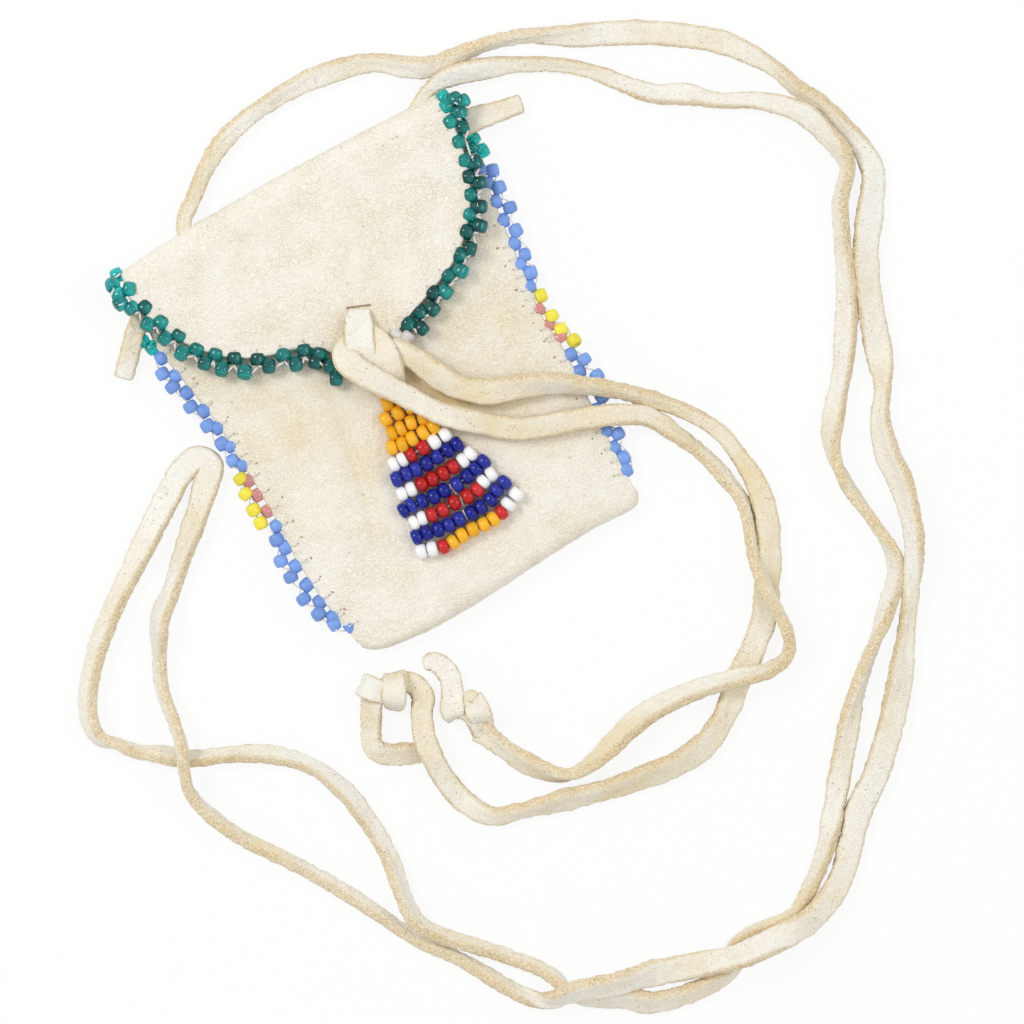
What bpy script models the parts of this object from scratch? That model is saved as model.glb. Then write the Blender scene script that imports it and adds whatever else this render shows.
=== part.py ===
"""Beaded medicine bag: a folded deerskin pouch with bead edging, a bead triangle, a tie and a neck lace.

Lengths are in metres. X runs across the bag, Y from its bottom fold to its top fold, and Z is up. The bag
lies on its back panel, with the origin below the middle of the pouch.
"""
import math

import bmesh
import bpy
from mathutils import Matrix, Vector

MM = 0.001

# Pouch, one strip of deerskin
LEATHER = 1.2 * MM
POUCH_LENGTH = 76.0 * MM
FOLD_WIDTH = 60.6 * MM
MOUTH_WIDTH = 62.4 * MM
BOTTOM_WIDTH = 52.8 * MM
MOUTH_DROP = 13.6 * MM
FLAP_LENGTH = 32.6 * MM
FLAP_TIP_WIDTH = 3.0 * MM
TOP_FOLD_RADIUS = 2.6 * MM
POCKET_HEIGHT = 2.8 * MM
POCKET_HEIGHT_AT_ENDS = 2.2 * MM
SEAM_GAP = 0.3 * MM
FLAP_LIFT = 1.0 * MM
FLAP_SETTLES = 4.0 * MM
PANEL_CURVE = 1.8
FLAP_CURVE = (2.4, 0.7)
SWELL_CURVE = 3.5
CLEARANCE = 0.3 * MM

# Beads
BEAD_DIAMETER = 2.5 * MM
BEAD_LENGTH = 2.1 * MM
BEAD_END = 0.8
SMALL_BEAD_DIAMETER = 2.2 * MM
SMALL_BEAD_LENGTH = 1.7 * MM
BEAD_LIFT = 0.1 * MM
ROW_NECK = 0.75
THREAD = 0.6 * MM
EDGE_OUTER_OFFSET = 2.9 * MM
SMALL_OUTER_OFFSET = 3.3 * MM
EDGE_STEP = 1.77 * MM
FLAP_EDGE_STEP = 1.82 * MM
MIDDLE_STEP = 1.45 * MM
GROUP_STEP = 2.1 * MM
SIDE_START = 1.8 * MM
BACK_EDGE_START = 0.8 * MM
FLAP_EDGE_START = 3.2 * MM
BLUE_BEADS = 13
YELLOW_BEADS = 4
FLAP_BEADS = {"left": 25, "right": 23}
BACK_EDGE_BEADS = {"left": 2, "right": 3}
BEAD_SIDES = 8

# Bead triangle on the front panel, from its point to its base
TRIANGLE_TOP = -2.9 * MM
ROW_SPACING = 2.47 * MM
ROW_PITCH = 1.95 * MM
TRIANGLE_AXIS = (-1.7 * MM, -0.3 * MM)
TRIANGLE_ROWS = (
    "YY",
    "YYY",
    "YYYY",
    "YYYYY",
    "WWRRWW",
    "BBBBBBB",
    "WWRRRRWW",
    "BBBBBBBBB",
    "WWRRRRRWW",
    "BBBBBBBBBB",
    "WWRYYYYYRWW",
)

# Laces: the free ones are plain round cords here
LACE_DIAMETER = 2.6 * MM
LACE_STRAP_WIDTH = 4.2 * MM
LACE_STRAP = 1.7 * MM
STRAP_LENGTH = 8.6 * MM
NECK_SAMPLE = 20.0 * MM
TAIL_SAMPLE = 9.0 * MM
TIE_SLIT = (1.5 * MM, 13.4 * MM)
TIE_DIRECTION = (-0.497, -0.868)
NECK_SLOTS = (-18.15 * MM, 26.3 * MM)
NECK_SLOT_WIDTH = 4.6 * MM
SLOT_SHARE = 0.6

# Route of the neck lace in millimetres, with the height as a share of one lace on another
NECK_LEFT = (
    (-38.8, 23.7, 0.0), (-35.9, 27.6, 0.2), (-32.7, 31.0, 0.5), (-27.5, 32.4, 0.55), (-23.4, 32.4, 0.55),
    (-20.2, 33.4, 0.6), (-18.6, 35.4, 0.6), (-17.8, 38.2, 0.6), (-17.0, 41.0, 0.4), (-14.9, 44.4, 0.1),
    (-10.1, 47.7, 0.0), (7.2, 53.1, 0.0), (19.4, 50.7, 0.0), (32.8, 43.8, 0.0), (49.3, 39.9, 0.0),
    (55.1, 36.0, 0.0), (76.8, 22.6, 0.0), (89.7, -5.6, 0.0), (81.9, -19.4, 0.0), (74.1, -38.0, 0.0),
    (69.0, -46.7, 0.0), (67.2, -57.7, 0.2), (62.6, -68.4, 0.7), (59.0, -76.0, 0.2), (43.1, -95.2, 0.0),
    (38.0, -98.8, 0.0), (25.7, -110.8, 0.0), (16.2, -114.8, 0.5), (3.2, -114.0, 1.05), (-5.0, -111.2, 0.5),
    (-11.1, -108.7, 0.5), (-18.6, -107.6, 1.05), (-32.4, -101.4, 0.0), (-38.5, -91.0, 0.0),
    (-46.3, -79.0, 0.0), (-63.2, -48.9, 0.3), (-62.9, -40.1, 1.0), (-61.4, -36.3, 1.0),
    (-58.6, -28.0, 0.2), (-56.9, -20.9, 0.0), (-34.3, 2.2, 0.0), (-35.0, 5.5, 0.0),
)
NECK_RIGHT = (
    (-35.0, 5.5, 0.0), (-43.2, 1.8, 0.0), (-60.8, -10.1, 0.0), (-74.1, -25.3, 0.0), (-71.8, -28.5, 0.0),
    (-61.7, -39.3, 0.0), (-49.7, -44.9, 0.0), (-44.6, -50.1, 0.0), (-40.2, -63.7, 0.0), (-41.7, -81.6, 0.6),
    (-30.2, -95.5, 0.0), (-13.9, -113.6, 0.0), (1.9, -115.8, 0.0), (3.4, -111.4, 0.0), (14.4, -111.4, 0.0),
    (19.2, -109.4, 0.0), (29.0, -101.1, 0.0), (41.2, -86.2, 0.0), (55.6, -73.8, 0.0), (59.4, -70.5, 0.0),
    (59.4, -47.1, 0.0), (71.5, -30.5, 0.0), (81.3, -11.1, 0.0), (85.9, -4.1, 0.2), (81.1, 8.2, 0.6),
    (62.9, 20.1, 0.0), (56.3, 28.3, 0.0), (44.5, 36.6, 0.0), (38.4, 39.2, 0.1), (33.4, 40.6, 0.3),
    (29.4, 40.3, 0.5), (26.7, 38.4, 0.6), (25.8, 35.9, 0.6), (26.8, 33.5, 0.55), (29.7, 32.3, 0.5),
    (33.7, 31.9, 0.45), (38.0, 31.0, 0.2), (42.1, 30.0, 0.0),
)

# Routes of the tie's two tails, in millimetres, with the height of the cord's middle
TAIL_UPPER = (
    (5.9, 1.8, 8.9), (10.9, -7.5, 7.1), (18.5, -12.0, 6.4), (28.1, -16.5, 4.9), (32.6, -19.6, 4.0),
    (38.2, -25.0, 1.9), (44.7, -34.8, 1.3), (45.0, -51.4, 1.3), (35.5, -65.9, 1.3), (30.7, -69.9, 1.3),
    (15.8, -78.6, 1.3), (10.1, -79.7, 1.3), (-9.4, -76.7, 1.3), (-16.3, -74.7, 1.3), (-21.2, -72.7, 1.3),
    (-24.6, -64.5, 1.9), (-25.2, -57.8, 4.0), (-22.7, -50.6, 2.0), (-21.2, -47.6, 1.4),
)
TAIL_LOWER = (
    (1.9, -4.4, 9.3), (5.1, -8.9, 9.1), (8.2, -12.3, 8.0), (12.5, -15.5, 7.0), (14.9, -17.9, 6.7),
    (25.4, -21.2, 5.3), (30.4, -23.6, 4.4), (35.0, -26.8, 3.0), (39.3, -35.2, 1.4), (42.1, -47.3, 1.3),
    (39.3, -55.8, 2.0), (38.0, -61.9, 4.2), (37.7, -65.2, 4.2), (36.9, -72.2, 2.4), (33.2, -74.0, 2.8),
    (28.6, -72.9, 4.2), (24.6, -72.1, 4.2), (14.5, -70.6, 1.6), (8.5, -70.8, 1.3), (-5.8, -73.6, 1.3),
    (-12.2, -67.5, 1.3), (-14.6, -62.4, 1.5),
)
TIE_LOOP = (
    (1.4, 9.6, 8.9), (-1.5, 11.4, 8.9), (-4.9, 10.9, 9.1), (-5.4, 8.2, 9.2), (-2.8, 3.6, 9.4), (1.2, -3.3, 9.4),
)
TIE_BAND = ((1.3, 9.6, 8.4), (2.2, 6.6, 9.2), (3.6, 3.7, 9.3), (5.2, 2.3, 9.0))
UPPER_KNOT = ((-22.0, -45.6, 2.2), (-24.7, -45.3, 2.6), (-27.9, -44.6, 2.2), (-30.6, -47.1, 1.4),
              (-32.7, -50.4, 1.3), (-33.3, -54.0, 1.3), (-30.4, -56.0, 1.3), (-27.6, -56.9, 1.3))
LOWER_KNOT = ((-15.2, -61.3, 1.9), (-15.6, -58.4, 2.5), (-16.9, -55.4, 2.3), (-17.4, -52.0, 1.6),
              (-16.2, -48.6, 1.3), (-16.8, -45.7, 1.3), (-18.4, -44.2, 1.3))
UPPER_KNOT_RING = (-25.9, -45.1, 2.9)
LOWER_KNOT_RING = (-16.1, -57.1, 2.9)
KNOT_RING = 1.85 * MM
KNOT_LACE = 1.2 * MM

# Places that follow from the sizes above
TOP_Y = POUCH_LENGTH / 2
BOTTOM_Y = -POUCH_LENGTH / 2
MOUTH_Y = TOP_Y - MOUTH_DROP
BACK_MID = LEATHER / 2
SEAM_MID = BACK_MID + LEATHER + SEAM_GAP
FLAP_AT_FOLD = BACK_MID + 2 * TOP_FOLD_RADIUS
EDGE_BEAD_Z = BEAD_DIAMETER / 2 + BEAD_LIFT
FRONT_ROWS, BACK_ROWS, FLAP_ROWS, FOLD_ROWS, COLUMNS = 10, 4, 12, 6, 12
EDGE_SAMPLES = 40

COLOURS = {
    "deerskin": ((0.86, 0.78, 0.60), 0.9),
    "lace": ((0.87, 0.79, 0.59), 0.9),
    "teal": ((0.0, 0.14, 0.12), 0.12),
    "sky_blue": ((0.13, 0.27, 0.70), 0.35),
    "yellow": ((0.84, 0.66, 0.03), 0.3),
    "rose": ((0.68, 0.16, 0.17), 0.2),
    "B": ((0.01, 0.02, 0.30), 0.15),
    "R": ((0.55, 0.02, 0.02), 0.15),
    "W": ((0.90, 0.90, 0.88), 0.25),
    "Y": ((0.93, 0.42, 0.01), 0.2),
}
ROW_NAMES = {"B": "blue", "R": "red", "W": "white", "Y": "orange"}


def clear_scene():
    for obj in list(bpy.data.objects):
        bpy.data.objects.remove(obj, do_unlink=True)


def make_collections():
    part = bpy.data.collections.new("medicine_bag")
    tools = bpy.data.collections.new("cutters")
    for collection in (part, tools):
        bpy.context.scene.collection.children.link(collection)
    return part, tools


def make_materials():
    made = {}
    for name, (colour, roughness) in COLOURS.items():
        material = bpy.data.materials.new(name)
        material.use_nodes = True
        shader = material.node_tree.nodes["Principled BSDF"]
        shader.inputs["Base Color"].default_value = (*colour, 1.0)
        shader.inputs["Roughness"].default_value = roughness
        shader.inputs["Metallic"].default_value = 0.0
        made[name] = material
    return made


def add_mesh(name, bm, collection, material=None):
    mesh = bpy.data.meshes.new(name)
    bmesh.ops.recalc_face_normals(bm, faces=bm.faces)
    bm.to_mesh(mesh)
    bm.free()
    mesh.shade_smooth()
    mesh.set_sharp_from_angle(angle=math.radians(50))
    if material:
        mesh.materials.append(material)
    obj = bpy.data.objects.new(name, mesh)
    collection.objects.link(obj)
    return obj


def as_helper(obj):
    obj.hide_render = True
    obj.display_type = "WIRE"
    return obj


def boolean(obj, other, operation):
    modifier = obj.modifiers.new(operation.lower(), "BOOLEAN")
    modifier.operation = operation
    modifier.object = other
    modifier.solver = "EXACT"


# Shape of the pouch

def panel_half_width(y):
    """Half width of the sewn panels: widest at the mouth, and of the strip between the mouth and the top fold."""
    if y > MOUTH_Y:
        share = (y - MOUTH_Y) / (TOP_Y - MOUTH_Y)
        return (MOUTH_WIDTH + (FOLD_WIDTH - MOUTH_WIDTH) * share) / 2
    share = max(0.0, (y - BOTTOM_Y) / (MOUTH_Y - BOTTOM_Y))
    return (BOTTOM_WIDTH + (MOUTH_WIDTH - BOTTOM_WIDTH) * share ** PANEL_CURVE) / 2


def flap_half_width(y):
    """Half width of the flap: full at the fold, rounded down to its tip."""
    share = min(1.0, max(0.0, (TOP_Y - y) / FLAP_LENGTH))
    return max(FLAP_TIP_WIDTH / 2, FOLD_WIDTH / 2 * (1 - share ** FLAP_CURVE[0]) ** FLAP_CURVE[1])


def front_mid(x, y):
    """Height of the middle of the front panel's skin: low at the side seams, swelling between them."""
    along = min(1.0, max(0.0, (y - BOTTOM_Y) / (MOUTH_Y - BOTTOM_Y)))
    pocket = POCKET_HEIGHT_AT_ENDS + (POCKET_HEIGHT - POCKET_HEIGHT_AT_ENDS) * math.sin(math.pi * along)
    across = min(1.0, abs(x) / panel_half_width(min(y, MOUTH_Y)))
    swell = 1 - across ** SWELL_CURVE
    return SEAM_MID + (pocket - SEAM_GAP) * swell


def flap_mid(x, y):
    """Height of the middle of the flap's skin: from the top fold it settles over the front panel."""
    lying = front_mid(x, min(y, MOUTH_Y)) + LEATHER + FLAP_LIFT
    start = TOP_Y - LEATHER / 2 - TOP_FOLD_RADIUS
    share = min(1.0, max(0.0, (start - y) / (start - MOUTH_Y + FLAP_SETTLES)))
    ease = share * share * (3 - 2 * share)
    return FLAP_AT_FOLD + (lying - FLAP_AT_FOLD) * ease


def strip_rows():
    """The strip's rows from the front panel's top edge, round the bottom fold, up the back, over to the tip."""
    rows = [("front", i / FRONT_ROWS) for i in range(FRONT_ROWS + 1)]
    rows += [("bottom_fold", i / FOLD_ROWS) for i in range(1, FOLD_ROWS)]
    rows += [("back", i / BACK_ROWS) for i in range(BACK_ROWS + 1)]
    rows += [("top_fold", i / FOLD_ROWS) for i in range(1, FOLD_ROWS)]
    rows += [("flap", i / FLAP_ROWS) for i in range(FLAP_ROWS + 1)]
    return rows


def strip_point(across, row):
    """Place on the middle of the skin, for across from -1 to 1 and one row of the strip."""
    kind, share = row
    if kind in ("front", "bottom_fold"):
        x = across * panel_half_width(BOTTOM_Y)
        radius = (front_mid(x, BOTTOM_Y) - BACK_MID) / 2
        centre = BOTTOM_Y + LEATHER / 2 + radius
        if kind == "front":
            y = MOUTH_Y + (centre - MOUTH_Y) * share
            x = across * panel_half_width(y)
            return Vector((x, y, front_mid(x, y)))
        angle = math.pi * share
        top = front_mid(x, BOTTOM_Y)
        return Vector((x, centre - radius * math.sin(angle), top - radius * (1 - math.cos(angle))))
    fold_centre = TOP_Y - LEATHER / 2 - TOP_FOLD_RADIUS
    if kind == "back":
        x = across * panel_half_width(BOTTOM_Y)
        start = BOTTOM_Y + LEATHER / 2 + (front_mid(x, BOTTOM_Y) - BACK_MID) / 2
        y = start + (fold_centre - start) * share
        return Vector((across * panel_half_width(y), y, BACK_MID))
    if kind == "top_fold":
        angle = math.pi * share
        y = fold_centre + TOP_FOLD_RADIUS * math.sin(angle)
        z = BACK_MID + TOP_FOLD_RADIUS * (1 - math.cos(angle))
        return Vector((across * FOLD_WIDTH / 2, y, z))
    end = TOP_Y - FLAP_LENGTH
    y = fold_centre + (end - fold_centre) * math.sin(math.pi / 2 * share)
    x = across * flap_half_width(y)
    return Vector((x, y, flap_mid(x, y)))


def make_pouch(part, tools, material):
    rows = strip_rows()
    bm = bmesh.new()
    bmesh.ops.create_grid(bm, x_segments=COLUMNS, y_segments=len(rows) - 1, size=1.0)
    for vert in bm.verts:
        row = round((vert.co.y + 1) / 2 * (len(rows) - 1))
        vert.co = strip_point(vert.co.x, rows[row])
    pouch = add_mesh("pouch_leather", bm, part, material)
    solid = pouch.modifiers.new("thickness", "SOLIDIFY")
    solid.thickness = LEATHER
    solid.offset = 0.0
    solid.use_even_offset = True
    width = LACE_STRAP_WIDTH + 2 * CLEARANCE
    low = LEATHER + LEATHER
    high = flap_mid(*TIE_SLIT) + LEATHER
    tie_cut = make_box("tie_slit_cutter", (width, LACE_STRAP + 2 * CLEARANCE, high - low), tools)
    tie_cut.location = (*TIE_SLIT, (low + high) / 2)
    tie_cut.rotation_euler.z = strap_angle()
    boolean(pouch, as_helper(tie_cut), "DIFFERENCE")
    height = LACE_DIAMETER + 2 * CLEARANCE
    for side, x in zip(("left", "right"), NECK_SLOTS):
        slot = make_box(f"neck_slot_cutter_{side}", (NECK_SLOT_WIDTH, 4 * LEATHER, height), tools)
        slot.location = (x, TOP_Y - LEATHER, lace_height(SLOT_SHARE))
        boolean(pouch, as_helper(slot), "DIFFERENCE")
    return pouch


def make_box(name, size, collection):
    bm = bmesh.new()
    bmesh.ops.create_cube(bm, size=1.0, matrix=Matrix.Diagonal((*size, 1.0)))
    return add_mesh(name, bm, collection)


# Beads

def bead_mesh(bm, place, length, diameter):
    """A barrel bead about the Z axis of place."""
    rings = []
    radius = diameter / 2
    for z, r in ((length / 2, radius * BEAD_END), (0.0, radius), (-length / 2, radius * BEAD_END)):
        ring = []
        for i in range(BEAD_SIDES):
            angle = 2 * math.pi * (i + 0.5) / BEAD_SIDES
            ring.append(bm.verts.new(place @ Vector((r * math.cos(angle), r * math.sin(angle), z))))
        rings.append(ring)
    for upper, lower in zip(rings, rings[1:]):
        for i in range(BEAD_SIDES):
            j = (i + 1) % BEAD_SIDES
            bm.faces.new((upper[i], lower[i], lower[j], upper[j]))
    bm.faces.new(rings[0])
    bm.faces.new(tuple(reversed(rings[-1])))


def facing(centre, axis, spin=(0.0, 0.0, 1.0)):
    """Matrix that puts a piece's Z axis along axis, with one flat side up."""
    z = Vector(axis).normalized()
    y = Vector(spin) - z * Vector(spin).dot(z)
    y.normalize()
    x = y.cross(z)
    turn = Matrix((x, y, z)).transposed().to_4x4()
    return Matrix.Translation(centre) @ turn


def walk(points, distances):
    """Points and directions at given distances along a polyline."""
    found = []
    for distance in distances:
        left = distance
        for a, b in zip(points, points[1:]):
            step = (b - a).length
            if left <= step or b is points[-1]:
                found.append((a + (b - a) * (left / step), (b - a) / step))
                break
            left -= step
    return found


def side_edge(side):
    """The side seam's line from the mouth to the bottom fold, at the height of its beads."""
    sign = -1 if side == "left" else 1
    line = []
    for i in range(EDGE_SAMPLES + 1):
        y = MOUTH_Y + (BOTTOM_Y - MOUTH_Y) * i / EDGE_SAMPLES
        line.append(Vector((sign * panel_half_width(y), y, EDGE_BEAD_Z)))
    return line


def back_edge(side):
    """The edge between the mouth and the top fold."""
    sign = -1 if side == "left" else 1
    low = Vector((sign * panel_half_width(MOUTH_Y), MOUTH_Y, EDGE_BEAD_Z))
    high = Vector((sign * FOLD_WIDTH / 2, TOP_Y, EDGE_BEAD_Z))
    return [low, high]


def flap_edge(side):
    """The flap's edge from the middle of the top fold to the tip."""
    sign = -1 if side == "left" else 1
    half = FOLD_ROWS
    line = [strip_point(sign, ("top_fold", i / (2 * half))) for i in range(half, 2 * half)]
    line += [strip_point(sign, ("flap", i / EDGE_SAMPLES)) for i in range(EDGE_SAMPLES + 1)]
    return line


def edge_beads(side, line, start, step, count, first_inner=True, small=False):
    """Places of zigzag beads along an edge: inner ones point outwards, outer ones lie along the edge."""
    length = SMALL_BEAD_LENGTH if small else BEAD_LENGTH
    outer_offset = SMALL_OUTER_OFFSET if small else EDGE_OUTER_OFFSET
    inner_offset = CLEARANCE + length / 2
    middle = (inner_offset + outer_offset) / 2
    shifted = []
    for i, point in enumerate(line):
        before = line[max(0, i - 1)]
        after = line[min(len(line) - 1, i + 1)]
        shifted.append(point + outward(side, after - before) * middle)
    inner, outer = [], []
    for i, (point, along) in enumerate(walk(shifted, [start + step * k for k in range(count)])):
        out = outward(side, along)
        if (i % 2 == 0) == first_inner:
            inner.append((point + out * (inner_offset - middle), out))
        else:
            outer.append((point + out * (outer_offset - middle), along))
    return inner, outer


def outward(side, along):
    """Level direction away from the leather, at right angles to an edge that runs towards the bag's bottom."""
    out = Vector((along.y, -along.x, 0.0)) if side == "left" else Vector((-along.y, along.x, 0.0))
    return out.normalized()


def make_edge_run(name, part, tools, material, inner, outer):
    """One run of zigzag beads that touch: the outer ones are joined to the inner ones."""
    inner_bm, outer_bm = bmesh.new(), bmesh.new()
    for centre, axis in inner:
        bead_mesh(inner_bm, facing(centre, axis), BEAD_LENGTH, BEAD_DIAMETER)
    for centre, axis in outer:
        bead_mesh(outer_bm, facing(centre, axis), BEAD_LENGTH, BEAD_DIAMETER)
    run = add_mesh(name, inner_bm, part, material)
    other = add_mesh(name + "_outer", outer_bm, tools, material)
    boolean(run, as_helper(other), "UNION")
    return run


def make_threaded_run(name, part, tools, material, beads, inset):
    """Small beads that stand apart, held together by the thread that runs past or through them."""
    bm = bmesh.new()
    for centre, axis in beads:
        bead_mesh(bm, facing(centre, axis), SMALL_BEAD_LENGTH, SMALL_BEAD_DIAMETER)
    run = add_mesh(name, bm, part, material)
    centres = [centre - axis * inset for centre, axis in beads]
    thread = bmesh.new()
    for a, b in zip(centres, centres[1:]):
        middle = (a + b) / 2
        reach = (b - a).length - SMALL_BEAD_LENGTH / 2
        bead_mesh(thread, facing(middle, b - a), reach, THREAD)
    other = add_mesh(name + "_thread", thread, tools, material)
    boolean(run, as_helper(other), "UNION")
    return run


def make_side_edging(side, part, tools, materials):
    line = side_edge(side)
    upper = edge_beads(side, line, SIDE_START, EDGE_STEP, BLUE_BEADS)
    make_edge_run(f"side_beads_{side}_blue_upper", part, tools, materials["sky_blue"], *upper)
    start = SIDE_START + (BLUE_BEADS - 1) * EDGE_STEP + GROUP_STEP
    count = 2 * YELLOW_BEADS - 1
    rose, yellow = edge_beads(side, line, start, MIDDLE_STEP, count, first_inner=False, small=True)
    make_threaded_run(f"side_beads_{side}_yellow", part, tools, materials["yellow"], yellow, 0.0)
    inset = SMALL_BEAD_LENGTH / 4
    make_threaded_run(f"side_beads_{side}_rose", part, tools, materials["rose"], rose, inset)
    start += (count - 1) * MIDDLE_STEP + GROUP_STEP
    lower = edge_beads(side, line, start, EDGE_STEP, BLUE_BEADS)
    make_edge_run(f"side_beads_{side}_blue_lower", part, tools, materials["sky_blue"], *lower)


def make_flap_edging(part, tools, materials):
    for side in ("left", "right"):
        line = flap_edge(side)
        count = FLAP_BEADS[side]
        teal = edge_beads(side, line, FLAP_EDGE_START, FLAP_EDGE_STEP, count)
        make_edge_run(f"flap_beads_{side}_teal", part, tools, materials["teal"], *teal)
        upward = [Vector(point) for point in reversed(back_edge(side))]
        reach = (upward[1] - upward[0]).length - BACK_EDGE_START
        count = BACK_EDGE_BEADS[side]
        start = reach - (count - 1) * EDGE_STEP
        back = edge_beads(side, upward, start, EDGE_STEP, count, first_inner=count % 2 == 0)
        make_edge_run(f"back_beads_{side}_teal", part, tools, materials["teal"], *back)
    line = flap_edge("right")
    start = FLAP_EDGE_START + (FLAP_BEADS["right"] - 1) * FLAP_EDGE_STEP + BEAD_DIAMETER + CLEARANCE
    white = edge_beads("right", line, start, FLAP_EDGE_STEP, 2, first_inner=False)
    make_edge_run("flap_beads_tip_white", part, tools, materials["W"], *white)


def bead_row(name, part, material, start, z, y, count):
    """A straight row of touching beads, turned as one wavy profile about the row's own axis."""
    radius = (ROW_SPACING - CLEARANCE) / 2
    length = count * ROW_PITCH - CLEARANCE
    pitch = length / count
    profile = [(0.0, length / 2), (ROW_NECK * radius, length / 2)]
    for i in range(count):
        top = length / 2 - i * pitch
        profile.append((radius, top - 0.5 * pitch))
        profile.append((ROW_NECK * radius, top - pitch))
    profile.append((0.0, -length / 2))
    bm = bmesh.new()
    verts = [bm.verts.new((r, 0.0, h)) for r, h in profile]
    for a, b in zip(verts, verts[1:]):
        bm.edges.new((a, b))
    mesh = bpy.data.meshes.new(name)
    bm.to_mesh(mesh)
    bm.free()
    mesh.materials.append(material)
    row = bpy.data.objects.new(name, mesh)
    part.objects.link(row)
    screw = row.modifiers.new("turn", "SCREW")
    screw.steps = screw.render_steps = BEAD_SIDES
    screw.use_merge_vertices = True
    screw.merge_threshold = 0.00001
    screw.use_smooth_shade = True
    row.rotation_euler = (0.0, math.pi / 2, 0.0)
    row.location = (start + length / 2, y, z)
    return row


def make_triangle(part, materials):
    radius = (ROW_SPACING - CLEARANCE) / 2
    last = len(TRIANGLE_ROWS) - 1
    for number, row in enumerate(TRIANGLE_ROWS):
        y = TRIANGLE_TOP - ROW_SPACING * number
        middle = TRIANGLE_AXIS[0] + (TRIANGLE_AXIS[1] - TRIANGLE_AXIS[0]) * number / last
        z = front_mid(0.0, y) + LEATHER / 2 + radius + BEAD_LIFT
        left = middle - len(row) * ROW_PITCH / 2
        begin = 0
        group = 0
        while begin < len(row):
            end = begin
            while end < len(row) and row[end] == row[begin]:
                end += 1
            group += 1
            colour = row[begin]
            name = f"triangle_row_{number + 1:02d}_{ROW_NAMES[colour]}_{group}"
            start = left + begin * ROW_PITCH + CLEARANCE / 2
            bead_row(name, part, materials[colour], start, z, y, end - begin)
            begin = end


# Laces

def lace_height(share):
    """Height of a lace's middle, for a share of the rise that takes it over another lace."""
    return LACE_DIAMETER / 2 + share * (LACE_DIAMETER + CLEARANCE)


def smooth_route(points, sample, lowest=LACE_DIAMETER / 2):
    """Points of a smooth curve through the route's points, at most sample apart and never under the floor."""
    made = []
    padded = [2 * points[0] - points[1], *points, 2 * points[-1] - points[-2]]
    for p0, p1, p2, p3 in zip(padded, padded[1:], padded[2:], padded[3:]):
        knots = [0.0]
        for a, b in ((p0, p1), (p1, p2), (p2, p3)):
            knots.append(knots[-1] + max((b - a).length ** 0.5, 1e-6))
        t0, t1, t2, t3 = knots
        pieces = max(1, math.ceil((p2 - p1).length / sample))
        for i in range(pieces):
            t = t1 + (t2 - t1) * i / pieces
            a1 = p0.lerp(p1, (t - t0) / (t1 - t0))
            a2 = p1.lerp(p2, (t - t1) / (t2 - t1))
            a3 = p2.lerp(p3, (t - t2) / (t3 - t2))
            b1 = a1.lerp(a2, (t - t0) / (t2 - t0))
            b2 = a2.lerp(a3, (t - t1) / (t3 - t1))
            point = b1.lerp(b2, (t - t1) / (t2 - t1))
            point.z = max(point.z, lowest)
            made.append(point)
    made.append(points[-1])
    return made


def make_cord(name, collection, material, points, radius):
    """A round cord on a poly spline, with closed ends."""
    curve = bpy.data.curves.new(name, "CURVE")
    curve.dimensions = "3D"
    curve.bevel_depth = radius
    curve.bevel_resolution = 2
    curve.use_fill_caps = True
    curve.resolution_u = 1
    spline = curve.splines.new("POLY")
    spline.points.add(len(points) - 1)
    for target, point in zip(spline.points, points):
        target.co = (*point, 1.0)
    if material:
        curve.materials.append(material)
    obj = bpy.data.objects.new(name, curve)
    collection.objects.link(obj)
    return obj


def cord_to_mesh(cord, material):
    """The cord as a mesh with its end caps welded on, in its own collection."""
    graph = bpy.context.evaluated_depsgraph_get()
    graph.update()
    mesh = bpy.data.meshes.new_from_object(cord.evaluated_get(graph))
    bm = bmesh.new()
    bm.from_mesh(mesh)
    bmesh.ops.remove_doubles(bm, verts=bm.verts, dist=0.00001)
    bmesh.ops.recalc_face_normals(bm, faces=bm.faces)
    bm.to_mesh(mesh)
    bm.free()
    mesh.shade_smooth()
    mesh.materials.clear()
    mesh.materials.append(material)
    name, collection, place = cord.name, cord.users_collection[0], cord.matrix_world.copy()
    bpy.data.objects.remove(cord, do_unlink=True)
    obj = bpy.data.objects.new(name, mesh)
    obj.matrix_world = place
    collection.objects.link(obj)
    return obj


def in_metres(points):
    return [Vector(point) * MM for point in points]


def neck_points():
    route = [Vector((x * MM, y * MM, lace_height(share))) for x, y, share in NECK_LEFT + NECK_RIGHT[1:]]
    return smooth_route(route, NECK_SAMPLE)


def strap_angle():
    """Turn about Z of the slit and of the strap that comes out of it."""
    return math.atan2(TIE_DIRECTION[1], TIE_DIRECTION[0]) + math.pi / 2


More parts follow.
